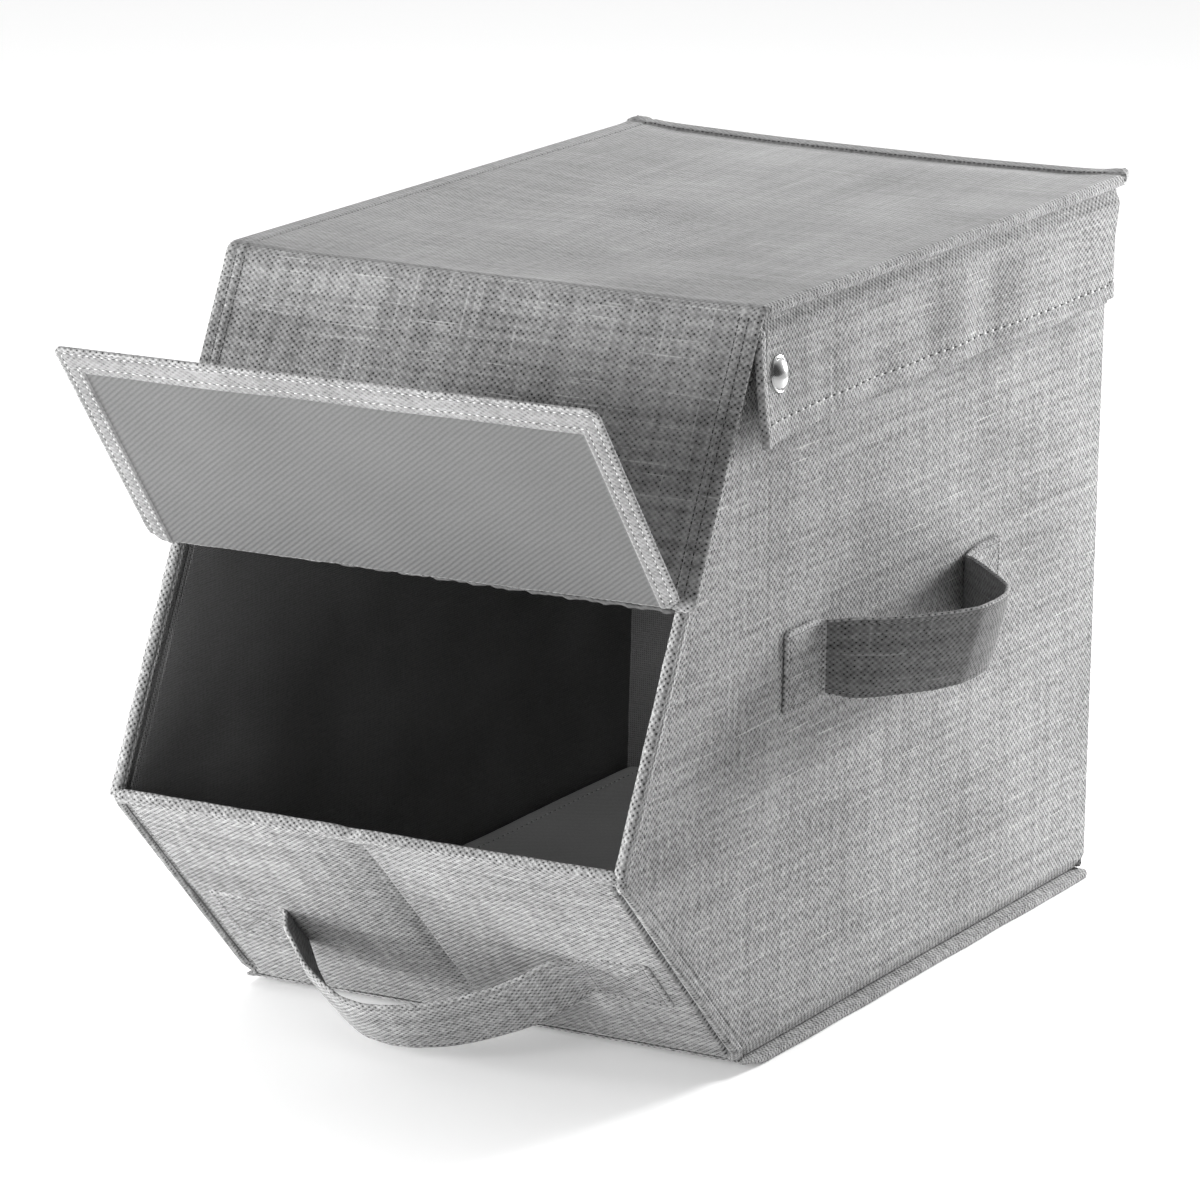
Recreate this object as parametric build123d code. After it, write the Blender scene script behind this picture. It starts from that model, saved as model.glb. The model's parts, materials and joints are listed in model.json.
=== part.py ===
from build123d import *
import os
from math import atan2, degrees, hypot, radians, tan

# Foldable fabric storage bin with a lift-off lid and a fold-up front flap.
# Millimetres. X to the bin's right, Y to the back, Z up, origin at the centre of the underside.

# ---- the tub ----
WIDTH = 240.0              # outside of the two side walls
BACK_Y = 172.5             # outside of the back wall
FRONT_FOOT_Y = -172.5      # bottom edge of the sloping front panel
WALL_BOTTOM = 5.0          # top of the sewn base, where the walls start
WALL_TOP = 322.0           # rim height
LIP = (-286.0, 112.0)      # (y, z) of the front lip, the lowest edge of the mouth
TOP_FRONT = (-182.7, 322.0)  # (y, z) where the sloping mouth edge meets the rim

COVER = 0.8                # woven outer cloth
BOARD = 2.0                # stiffener board
LINING = 0.5               # inner cloth
WALL = COVER + BOARD + LINING
FOLD_GAP = 1.0             # gap between the two halves of a creased panel
RIM_CLOTH = 0.6            # binding cloth that wraps each open edge
RIM_DEPTH = 6.0            # how far the binding reaches down the wall
RIM_CAP = 0.8              # binding thickness on the edge itself
LIP_CAP = 1.0

# ---- the base ----
BASE_X = 124.0
BASE_FRONT_Y = -176.0
BASE_BACK_Y = 176.5
BASE_WELT = 2.0            # rolled seam around the base board
BASE_LINING = 0.8

# ---- the loose floor board ----
INSERT_X = 115.2
INSERT_FRONT_Y = -166.0
INSERT_BACK_Y = 167.5
INSERT_Z = 5.4
INSERT_BOARD = 5.0
INSERT_CLOTH = 0.6

# ---- the lid ----
LID_GAP = 0.5              # air between the rim and the lid
LID_X = 126.0
LID_BACK_Y = 182.5
LID_TOP_BOARD = 3.9
LID_TOP_COVER = 0.9
LID_WELT = 1.1             # stitched edge around the top board
PANEL_HEM = 0.8            # side hems of the sloping lid panel
FOLD_Z = 212.4             # height of the fold that the flap turns on
FOLD_RADIUS = 0.9          # cloth fold along the flap's turning line
FOLD_CLEAR = 1.2           # where the panel and the flap start, from that line

# ---- the flap ----
FLAP_LENGTH = 125.0
FLAP_LEAN = 39.0           # degrees forward of upright at rest
FLAP_EDGE = 1.2
BORDER_SIDE = 10.0
BORDER_FREE = 15.0

# ---- the lid's skirts ----
SKIRT_CLOTH = 1.1
SKIRT_BOTTOM = 271.5
SKIRT_TOP = 321.2
SKIRT_FRONT_TOP_Y = -182.0
SKIRT_FRONT_BOTTOM_Y = -188.0
SKIRT_REAR_Y = 160.0       # where a side skirt meets the corner return
RETURN_Y = 161.0
RETURN_TOP = 322.3

# ---- press studs ----
SNAP_Y = -172.0
SNAP_Z = 298.0
CAP_RADIUS = 7.5
STUD_RADIUS = 6.0
STUD_POST = 2.0
SOCKET_HOLE = 2.4

# ---- handles ----
STRAP_WIDTH = 36.0
STRAP = 2.2                # strap thickness
TAB_INNER = 69.0           # from the handle's middle to where the loop leaves the wall
TAB_OUTER = 105.0
TAB = 2.0
SIDE_HANDLE_Y = -41.0
SIDE_HANDLE_Z = 166.0
SIDE_RISE = 50.0
FRONT_HANDLE_UP = 63.0     # middle of the strap, up the front panel from its foot
FRONT_RISE = 40.0
LOOP_START = 3.0           # the loop's free cloth starts this far off the wall
LOOP_INSET = 1.8           # and this far inside the tabs
WEDGE_TIP = 0.6            # its cloth narrows to nothing at this height over the wall
SWING_LIMIT = 40.0         # degrees the loop swings up or down
SWING_SPARE = 3.0          # degrees left between the swung loop and the wall

INNER_X = WIDTH / 2 - WALL
COVER_X = WIDTH / 2 - COVER
BOARD_X = COVER_X - BOARD


def panel_line(start, end):
    """Return place(t, d): the (y, z) point t along start to end and d out on its left."""
    length = hypot(end[0] - start[0], end[1] - start[1])
    dy = (end[0] - start[0]) / length
    dz = (end[1] - start[1]) / length
    return lambda t, d=0.0: (start[0] + dy * t - dz * d, start[1] + dz * t + dy * d)


FRONT_FOOT = (FRONT_FOOT_Y, WALL_BOTTOM)
FRONT_LENGTH = hypot(LIP[0] - FRONT_FOOT[0], LIP[1] - FRONT_FOOT[1])
FRONT_SLOPE = (LIP[1] - FRONT_FOOT[1]) / (FRONT_FOOT[0] - LIP[0])
front = panel_line(FRONT_FOOT, LIP)
slope = panel_line(LIP, TOP_FRONT)
SLOPE_Y = slope(1)[0] - LIP[0]
SLOPE_Z = slope(1)[1] - LIP[1]
PANEL_OUT = LID_GAP + WALL                       # outer face of the sloping lid panel
FOLD_T = (FOLD_Z - LIP[1] - SLOPE_Y * PANEL_OUT) / SLOPE_Z
FOLD = slope(FOLD_T, PANEL_OUT)                  # (y, z) of the flap's turning line
LID_UNDER = WALL_TOP + LID_GAP
LID_BOARD_Z = LID_UNDER + LINING
LID_COVER_Z = LID_BOARD_Z + LID_TOP_BOARD
LID_TOP = LID_COVER_Z + LID_TOP_COVER


def prism(outline, x_low, x_high):
    """Stretch a closed (y, z) outline across X."""
    face = make_face(Polyline(*[(x_low, y, z) for y, z in outline], close=True))
    return extrude(face, amount=x_high - x_low, dir=(1, 0, 0))


def block(x_low, x_high, y_low, y_high, z_low, z_high):
    return prism([(y_low, z_low), (y_high, z_low), (y_high, z_high), (y_low, z_high)], x_low, x_high)


def slab(place, t_low, t_high, d_low, d_high, x_low, x_high):
    """A flat layer lying along a panel line."""
    corners = [place(t_low, d_low), place(t_high, d_low), place(t_high, d_high), place(t_low, d_high)]
    return prism(corners, x_low, x_high)


def turn_x(shape, degrees_turn, pivot):
    """Turn a shape about the line along X through the (y, z) pivot."""
    centre = (0, pivot[0], pivot[1])
    return Pos(*centre) * Rot(degrees_turn, 0, 0) * Pos(-centre[0], -centre[1], -centre[2]) * shape


def mirrored(shape):
    return mirror(shape, about=Plane.YZ)


def meet(place_a, d_a, place_b, d_b):
    """Where two offset panel lines cross."""
    ay, az = place_a(0, d_a)
    by, bz = place_b(0, d_b)
    ady, adz = place_a(1, d_a)[0] - ay, place_a(1, d_a)[1] - az
    bdy, bdz = place_b(1, d_b)[0] - by, place_b(1, d_b)[1] - bz
    t = ((by - ay) * bdz - (bz - az) * bdy) / (ady * bdz - adz * bdy)
    return (ay + ady * t, az + adz * t)


top_edge = panel_line(TOP_FRONT, (BACK_Y, WALL_TOP))
back_edge = panel_line((BACK_Y, WALL_TOP), (BACK_Y, WALL_BOTTOM))
foot_edge = panel_line((BACK_Y, WALL_BOTTOM), FRONT_FOOT)


def side_outline(fold_inset, rim_inset, foot_inset):
    """The side wall's five corners, inset from the sewn edges, the open edges and the foot."""
    edges = [(front, fold_inset), (slope, rim_inset), (top_edge, rim_inset),
             (back_edge, fold_inset), (foot_edge, foot_inset)]
    corners = []
    for (line_a, inset_a), (line_b, inset_b) in zip(edges, edges[1:] + edges[:1]):
        corners.append(meet(line_a, -inset_a, line_b, -inset_b))
    return corners


def rim_band(depth, front_start, back_stop):
    """The strip of side wall along the mouth and the rim, depth mm deep."""
    return [slope(front_start), TOP_FRONT, (back_stop, WALL_TOP), (back_stop, WALL_TOP - depth),
            meet(slope, -depth, top_edge, -depth), slope(front_start, -depth)]


def side_walls():
    half = WIDTH / 2
    cover = prism(side_outline(0, RIM_CAP, 0), COVER_X, half)
    board = prism(side_outline(COVER, RIM_CAP, 0), BOARD_X, COVER_X)
    lining = prism(side_outline(COVER + BOARD, RIM_CAP, 0), INNER_X, BOARD_X)
    outer_leg = prism(rim_band(RIM_DEPTH, 0, BACK_Y), half, half + RIM_CLOTH)
    cap = prism(rim_band(RIM_CAP, 0, BACK_Y), INNER_X - RIM_CLOTH, half + RIM_CLOTH)
    inner_leg = prism(rim_band(RIM_DEPTH, RIM_DEPTH + 1, BACK_Y - WALL - RIM_CLOTH),
                      INNER_X - RIM_CLOTH, INNER_X)
    right = {"side_cover": cover, "side_board": board, "side_lining": lining,
             "rim_binding": outer_leg + cap + inner_leg}
    nodes = {}
    for name, shape in right.items():
        nodes["right_" + name] = shape
        nodes["left_" + name] = mirrored(shape)
    return nodes


def front_layer(d_low, d_high, x_low, x_high):
    """A layer of the sloping front panel, its foot cut level with the base."""
    foot_low = d_low / FRONT_SLOPE
    foot_high = d_high / FRONT_SLOPE
    top = FRONT_LENGTH - LIP_CAP
    corners = [front(foot_low, d_low), front(top, d_low), front(top, d_high), front(foot_high, d_high)]
    return prism(corners, x_low, x_high)


def front_panel():
    board = front_layer(-COVER - BOARD, -COVER, FOLD_GAP / 2, BOARD_X)
    rim_inner = INNER_X - RIM_CLOTH
    leg = slab(front, FRONT_LENGTH - RIM_DEPTH, FRONT_LENGTH, 0, RIM_CLOTH, -COVER_X, COVER_X)
    cap = slab(front, FRONT_LENGTH - LIP_CAP, FRONT_LENGTH, -WALL - RIM_CLOTH, RIM_CLOTH,
               -rim_inner, rim_inner)
    inner = slab(front, FRONT_LENGTH - RIM_DEPTH, FRONT_LENGTH, -WALL - RIM_CLOTH, -WALL,
                 -rim_inner, rim_inner)
    return {
        "front_cover": front_layer(-COVER, 0, -COVER_X, COVER_X),
        "front_board_right": board,
        "front_board_left": mirrored(board),
        "front_lining": front_layer(-WALL, -COVER - BOARD, -INNER_X, INNER_X),
        "lip_binding": leg + cap + inner,
    }


def back_panel():
    top = WALL_TOP - RIM_CAP
    inside = BACK_Y - WALL
    rim_inner = INNER_X - RIM_CLOTH
    board = block(FOLD_GAP / 2, BOARD_X, BACK_Y - COVER - BOARD, BACK_Y - COVER, WALL_BOTTOM, top)
    leg = block(-COVER_X, COVER_X, BACK_Y, BACK_Y + RIM_CLOTH, WALL_TOP - RIM_DEPTH, WALL_TOP)
    cap = block(-rim_inner, rim_inner, inside - RIM_CLOTH, BACK_Y, top, WALL_TOP)
    inner = block(-rim_inner, rim_inner, inside - RIM_CLOTH, inside, WALL_TOP - RIM_DEPTH, WALL_TOP)
    return {
        "back_cover": block(-COVER_X, COVER_X, BACK_Y - COVER, BACK_Y, WALL_BOTTOM, top),
        "back_board_right": board,
        "back_board_left": mirrored(board),
        "back_lining": block(-INNER_X, INNER_X, inside, inside + LINING, WALL_BOTTOM, top),
        "back_rim_binding": leg + cap + inner,
    }


def base():
    board_top = WALL_BOTTOM - BASE_LINING
    board_x = BASE_X - BASE_WELT
    board_front = BASE_FRONT_Y + BASE_WELT
    board_back = BASE_BACK_Y - BASE_WELT
    board = block(-board_x, board_x, board_front, board_back, COVER, board_top)
    welt = block(-BASE_X, BASE_X, BASE_FRONT_Y, BASE_BACK_Y, COVER, board_top) - board
    return {
        "base_cover": block(-BASE_X, BASE_X, BASE_FRONT_Y, BASE_BACK_Y, 0, COVER),
        "base_board": board,
        "base_seam_welt": welt,
        "base_lining": block(-BASE_X, BASE_X, BASE_FRONT_Y, BASE_BACK_Y, board_top, WALL_BOTTOM),
    }


def floor_insert():
    cloth = INSERT_CLOTH
    top = INSERT_Z + INSERT_BOARD + 2 * cloth
    whole = block(-INSERT_X, INSERT_X, INSERT_FRONT_Y, INSERT_BACK_Y, INSERT_Z, top)
    board = block(-INSERT_X + cloth, INSERT_X - cloth, INSERT_FRONT_Y + cloth, INSERT_BACK_Y - cloth,
                  INSERT_Z + cloth, top - cloth)
    seam = INSERT_Z + cloth
    lower = block(-INSERT_X, INSERT_X, INSERT_FRONT_Y, INSERT_BACK_Y, INSERT_Z, seam)
    return {
        "insert_board": board,
        "insert_top_cloth": whole - board - lower,
        "insert_under_cloth": lower,
    }


def loop_and_tabs(rise):
    """A strap handle lying on the XY plane, rising along +Z, its strap width along Y."""
    foot = TAB_INNER - LOOP_INSET
    arc = ThreePointArc((-foot, 0, LOOP_START), (0, 0, rise - STRAP / 2), (foot, 0, LOOP_START))
    band = extrude(trace(Plane.XZ.to_local_coords(arc), STRAP), amount=STRAP_WIDTH / 2, both=True)
    loop = Plane.XZ * band
    reach = rise + STRAP
    half = reach / tan(radians(SWING_LIMIT + SWING_SPARE))
    wedge = make_face(Polyline((-TAB_OUTER, 0, WEDGE_TIP), (-TAB_OUTER, half, WEDGE_TIP + reach),
                               (-TAB_OUTER, -half, WEDGE_TIP + reach), close=True))
    loop = loop & extrude(wedge, amount=2 * TAB_OUTER, dir=(1, 0, 0))
    tab = Pos((TAB_INNER + TAB_OUTER) / 2, 0, TAB / 2) * Box(TAB_OUTER - TAB_INNER, STRAP_WIDTH, TAB)
    return loop, Compound(children=[tab, mirrored(tab)])


def handles():
    side_loop, side_tabs = loop_and_tabs(SIDE_RISE)
    front_loop, front_tabs = loop_and_tabs(FRONT_RISE)
    side_plane = Plane(origin=(WIDTH / 2, SIDE_HANDLE_Y, SIDE_HANDLE_Z), x_dir=(0, 1, 0), z_dir=(1, 0, 0))
    y, z = front(FRONT_HANDLE_UP)
    out = (0, front(0, 1)[0] - front(0)[0], front(0, 1)[1] - front(0)[1])
    front_plane = Plane(origin=(0, y, z), x_dir=(1, 0, 0), z_dir=out)
    nodes = {
        "right_handle_strap": side_plane * side_loop,
        "right_handle_tabs": side_plane * side_tabs,
        "front_handle_strap": front_plane * front_loop,
        "front_handle_tabs": front_plane * front_tabs,
    }
    nodes["left_handle_strap"] = mirrored(nodes["right_handle_strap"])
    nodes["left_handle_tabs"] = mirrored(nodes["right_handle_tabs"])
    return nodes


def disc(radius, x_low, x_high):
    """A round snap part on the right wall, its axis along X."""
    return Pos((x_low + x_high) / 2, SNAP_Y, SNAP_Z) * Rot(0, 90, 0) * Cylinder(radius, x_high - x_low)


def snaps():
    wall = WIDTH / 2
    skirt_in = LID_X - 2 * SKIRT_CLOTH
    stud = disc(STUD_RADIUS, wall, wall + 0.9) + disc(STUD_POST, wall + 0.9, wall + 2.3)
    eyelet = disc(STUD_RADIUS, INNER_X - 1.2, INNER_X) - disc(STUD_POST, INNER_X - 2, INNER_X + 1)
    rim = disc(CAP_RADIUS, LID_X, LID_X + 1.2)
    dome = disc(CAP_RADIUS - 1.6, LID_X + 1.2, LID_X + 2.4)
    cap = fillet((rim + dome).edges().filter_by(GeomType.CIRCLE).group_by(Axis.X)[-1], 0.9)
    socket = disc(STUD_RADIUS, skirt_in - 1.2, skirt_in) - disc(SOCKET_HOLE, skirt_in - 2, skirt_in + 1)
    return {
        "snap_studs": Compound(children=[stud, mirrored(stud)]),
        "snap_eyelets": Compound(children=[eyelet, mirrored(eyelet)]),
        "right_snap_cap": cap,
        "right_snap_socket": socket,
        "left_snap_cap": mirrored(cap),
        "left_snap_socket": mirrored(socket),
    }


def lid_top():
    board_x = LID_X - LID_WELT
    board_back = LID_BACK_Y - LID_WELT
    lid_line = panel_line((TOP_FRONT[0], 0), (BACK_Y, 0))
    facing = PANEL_OUT - COVER

    def layer(z_low, z_high, out, back, x):
        ends = [meet(slope, out, lid_line, z) for z in (z_low, z_high)]
        return prism([ends[0], (back, z_low), (back, z_high), ends[1]], -x, x)

    whole = layer(LID_BOARD_Z, LID_COVER_Z, facing, LID_BACK_Y, LID_X)
    board = layer(LID_BOARD_Z, LID_COVER_Z, facing, board_back, board_x)
    return {
        "lid_top_lining": layer(LID_UNDER, LID_BOARD_Z, facing, LID_BACK_Y, LID_X),
        "lid_top_board": board,
        "lid_edge_welt": whole - board,
        "lid_top_cover": layer(LID_COVER_Z, LID_TOP, PANEL_OUT, LID_BACK_Y, LID_X),
    }


def lid_front():
    def rise(height, d):
        return (height - LIP[1] - SLOPE_Y * d) / SLOPE_Z

    def layer(d_low, d_high, height, x_low, x_high):
        start = FOLD_T + FOLD_CLEAR
        corners = [slope(start, d_low), slope(rise(height, d_low), d_low),
                   slope(rise(height, d_high), d_high), slope(start, d_high)]
        return prism(corners, x_low, x_high)

    lining_out = LID_GAP + LINING
    board_out = lining_out + BOARD
    board_x = LID_X - PANEL_HEM
    hem = layer(lining_out, board_out, LID_UNDER, board_x, LID_X)
    fold = Pos(0, *FOLD) * Rot(0, 90, 0) * Cylinder(FOLD_RADIUS, 2 * (LID_X - 1))
    return {
        "lid_front_lining": layer(LID_GAP, lining_out, LID_UNDER, -LID_X, LID_X),
        "lid_front_board": layer(lining_out, board_out, LID_UNDER, -board_x, board_x),
        "lid_front_hems": Compound(children=[hem, mirrored(hem)]),
        "lid_front_cover": layer(board_out, PANEL_OUT, LID_COVER_Z, -LID_X, LID_X),
        "flap_fold": fold,
    }


def flap():
    """The flap is laid out shut, over the mouth, and then turned up to its resting lean."""
    lining_out = LID_GAP + LINING
    board_out = lining_out + BOARD
    start = FOLD_T - FOLD_CLEAR
    tip = FOLD_T - FLAP_LENGTH
    border_x = LID_X - BORDER_SIDE
    cover = slab(slope, tip, start, board_out, PANEL_OUT, -LID_X, LID_X)
    core = slab(slope, tip + FLAP_EDGE, start, lining_out, board_out, -LID_X + FLAP_EDGE, LID_X - FLAP_EDGE)
    lining = slab(slope, tip + BORDER_FREE, start, LID_GAP, lining_out, -border_x, border_x)
    border = slab(slope, tip, start, LID_GAP, board_out, -LID_X, LID_X) - core - lining
    shut = degrees(atan2(-SLOPE_Z, -SLOPE_Y)) % 360
    resting = 90 + FLAP_LEAN
    parts = {"flap_cover": cover, "flap_board": core, "flap_lining": lining, "flap_border": border}
    return {name: turn_x(shape, resting - shut, FOLD) for name, shape in parts.items()}


def skirts():
    mid = LID_X - SKIRT_CLOTH
    inner = LID_X - 2 * SKIRT_CLOTH
    side = [(SKIRT_FRONT_BOTTOM_Y, SKIRT_BOTTOM), (SKIRT_REAR_Y, SKIRT_BOTTOM),
            (SKIRT_REAR_Y, SKIRT_TOP), (SKIRT_FRONT_TOP_Y, SKIRT_TOP)]
    back_in = LID_BACK_Y - 2 * SKIRT_CLOTH
    wrap = block(-LID_X, LID_X, RETURN_Y, LID_BACK_Y, SKIRT_BOTTOM, RETURN_TOP)
    hollow = block(-inner, inner, RETURN_Y, back_in, SKIRT_BOTTOM, RETURN_TOP)
    nodes = {"back_skirt": wrap - hollow}
    nodes["right_skirt_outer"] = prism(side, mid, LID_X)
    nodes["right_skirt_facing"] = prism(side, inner, mid)
    nodes["left_skirt_outer"] = mirrored(nodes["right_skirt_outer"])
    nodes["left_skirt_facing"] = mirrored(nodes["right_skirt_facing"])
    return nodes


def main():
    os.makedirs("parts", exist_ok=True)
    nodes = {}
    for make in (side_walls, front_panel, back_panel, base, floor_insert, handles, snaps,
                 lid_top, lid_front, flap, skirts):
        nodes.update(make())
    for name, shape in nodes.items():
        export_step(shape, f"parts/{name}.step")
    print(len(nodes), "nodes; flap turns on y, z =", [round(v, 3) for v in FOLD])


main()
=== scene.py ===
import json
import math

import bmesh
import bpy
import numpy as np
from mathutils import Matrix, Vector


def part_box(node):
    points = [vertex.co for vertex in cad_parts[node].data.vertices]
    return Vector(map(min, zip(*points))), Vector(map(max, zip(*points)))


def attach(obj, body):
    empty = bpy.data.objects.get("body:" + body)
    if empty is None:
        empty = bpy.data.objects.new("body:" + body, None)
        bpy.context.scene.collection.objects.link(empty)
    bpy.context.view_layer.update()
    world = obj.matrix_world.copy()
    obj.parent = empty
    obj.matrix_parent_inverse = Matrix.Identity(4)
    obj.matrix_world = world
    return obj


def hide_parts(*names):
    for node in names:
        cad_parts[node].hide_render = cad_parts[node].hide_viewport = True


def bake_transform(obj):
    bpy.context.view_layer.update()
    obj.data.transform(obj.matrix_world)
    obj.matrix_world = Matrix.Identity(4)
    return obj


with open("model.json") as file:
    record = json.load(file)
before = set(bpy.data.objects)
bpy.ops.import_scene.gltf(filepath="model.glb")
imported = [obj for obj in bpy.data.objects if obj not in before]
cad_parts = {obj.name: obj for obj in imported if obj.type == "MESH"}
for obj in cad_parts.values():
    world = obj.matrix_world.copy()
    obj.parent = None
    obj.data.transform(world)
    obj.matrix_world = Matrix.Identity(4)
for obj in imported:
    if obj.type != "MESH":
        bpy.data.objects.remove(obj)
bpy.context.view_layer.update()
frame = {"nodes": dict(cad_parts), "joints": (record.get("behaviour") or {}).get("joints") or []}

MM = 0.001
RIM_STEPS = 4            # facets across a rolled edge


# ------------------------------------------------------------------ places read from the frame
def vertex(node, key):
    """The CAD vertex of a node that comes first in the order of key."""
    return min((v.co.copy() for v in frame["nodes"][node].data.vertices), key=key)


def yz(point):
    return np.array([point.y, point.z])


def unit(vector):
    return vector / np.linalg.norm(vector)


WALL_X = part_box("right_side_cover")[1].x
BACK_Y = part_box("back_cover")[1].y
BASE_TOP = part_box("base_lining")[1].z
RIM_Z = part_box("back_rim_binding")[1].z
LIP = yz(vertex("right_rim_binding", lambda c: c.y))
TOP_FRONT = yz(vertex("right_rim_binding", lambda c: (-round(c.z, 5), c.y)))
FOOT = yz(vertex("front_cover", lambda c: (round(c.z, 5), c.y)))
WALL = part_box("back_cover")[1].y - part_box("back_lining")[0].y
JOINT = {j["name"]: j for j in frame["joints"]}
FOLD = np.array(JOINT["flap_hinge"]["pos_m"][1:])
FLAP_TIP = yz(vertex("flap_cover", lambda c: -c.z))
LID_START = yz(vertex("lid_front_cover", lambda c: c.y))
LID_CORNER = yz(vertex("lid_top_cover", lambda c: (-round(c.z, 5), c.y)))
LID_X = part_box("lid_top_cover")[1].x
LID_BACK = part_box("lid_top_cover")[1].y
LID_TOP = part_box("lid_top_cover")[1].z
LID_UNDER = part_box("lid_top_lining")[0].z

SLOPE = unit(TOP_FRONT - LIP)
SLOPE_OUT = np.array([-SLOPE[1], SLOPE[0]])
FRONT_UP = unit(LIP - FOOT)
FRONT_OUT = np.array([-FRONT_UP[1], FRONT_UP[0]])
FRONT_LENGTH = float(np.linalg.norm(LIP - FOOT))
FLAP_UP = unit(FLAP_TIP - FOLD)
FLAP_LENGTH = float(np.linalg.norm(FLAP_TIP - FOLD))
FLAP_FACE = np.array([-FLAP_UP[1], FLAP_UP[0]])      # the lining's side


# ------------------------------------------------------------------ shaping helpers
def smooth(x, low, high):
    t = np.clip((x - low) / (high - low), 0, 1)
    return t * t * (3 - 2 * t)


def stations(low, high, step, marks=()):
    """Grid lines from low to high, closer at both ends and at the marks measured from each end."""
    span = high - low
    lines = list(np.linspace(low, high, max(2, int(round(span / step)) + 1)))
    for mark in (0.5 * MM, 1.2 * MM, 2.2 * MM) + tuple(marks):
        lines += [low + mark, high - mark]
    lines = np.unique(np.round([v for v in lines if low <= v <= high], 6))
    keep = [lines[0]]
    for value in lines[1:]:
        if value - keep[-1] > 0.35 * MM:
            keep.append(value)
    keep[-1] = high
    return np.array(keep)


def ripple(a, b, seed, size):
    """A smooth irregular wave between about -1 and 1 over a plane."""
    rng = np.random.default_rng(seed)
    total = np.zeros_like(a, dtype=float)
    for _ in range(7):
        angle = rng.uniform(0, math.tau)
        pace = math.tau / size * rng.uniform(0.6, 1.5)
        total += np.sin(pace * (a * math.cos(angle) + b * math.sin(angle)) + rng.uniform(0, math.tau))
    return total / 3.2


def groove(d, at, width=0.9 * MM, depth=0.35 * MM):
    return -depth * np.exp(-((d - at) / width) ** 2)


def rounded(a, b, radii, low, high):
    """Move a rectangular grid's corner squares onto quarter discs: radii at the low and high end of b."""
    radius = np.where(b < (low[1] + high[1]) / 2, radii[0], radii[1])
    a_in = np.maximum(low[0] + radius - a, a - high[0] + radius)
    b_in = np.maximum(low[1] + radius - b, b - high[1] + radius)
    both = (a_in > 0) & (b_in > 0)
    reach = np.hypot(a_in, b_in)
    shrink = np.where(both, np.maximum(a_in, b_in) / np.where(reach > 0, reach, 1), 1.0)
    a_sign = np.where(a > (low[0] + high[0]) / 2, 1, -1)
    b_sign = np.where(b > (low[1] + high[1]) / 2, 1, -1)
    a_new = np.where(both, a - a_sign * a_in * (1 - shrink), a)
    b_new = np.where(both, b - b_sign * b_in * (1 - shrink), b)
    return a_new, b_new


def route(points, radii, step=1.0 * MM):
    """A polyline with its corners rounded, as points step apart, and its arc lengths."""
    points = [np.array(p, float) for p in points]
    line = [points[0]]
    for before, here, after, radius in zip(points, points[1:], points[2:], radii):
        u, v = unit(before - here), unit(after - here)
        half = math.acos(float(np.clip(u @ v, -1, 1))) / 2
        cut = radius / math.tan(half)
        centre = here + unit(u + v) * radius / math.sin(half)
        start, end = here + u * cut - centre, here + v * cut - centre
        sweep = math.pi - 2 * half
        for k in range(9):
            w0, w1 = math.sin((1 - k / 8) * sweep), math.sin(k / 8 * sweep)
            line.append(centre + (start * w0 + end * w1) / math.sin(sweep))
    line.append(points[-1])
    line = np.array(line)
    lengths = np.concatenate([[0], np.cumsum(np.linalg.norm(np.diff(line, axis=0), axis=1))])
    even = np.linspace(0, lengths[-1], max(2, int(lengths[-1] / step)))
    return np.stack([np.interp(even, lengths, line[:, k]) for k in range(line.shape[1])], 1), even


def along(line, lengths, s):
    """Point and left-hand normal of a plane route at arc lengths s, carried straight on past its ends."""
    tangents = np.gradient(line, axis=0)
    tangents /= np.linalg.norm(tangents, axis=1, keepdims=True)
    point = np.stack([np.interp(s, lengths, line[:, k]) for k in range(2)], -1)
    tangent = np.stack([np.interp(s, lengths, tangents[:, k]) for k in range(2)], -1)
    tangent /= np.linalg.norm(tangent, axis=-1, keepdims=True)
    beyond = (s - np.clip(s, lengths[0], lengths[-1]))[..., None]
    return point + tangent * beyond, np.stack([-tangent[..., 1], tangent[..., 0]], -1)


def normals_of(points):
    n = np.cross(np.gradient(points, axis=0), np.gradient(points, axis=1))
    return n / np.linalg.norm(n, axis=2, keepdims=True)


def from_yz(x, pair):
    """Points in space from X and a (y, z) pair."""
    return np.stack([x, pair[..., 0], pair[..., 1]], -1)


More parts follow.
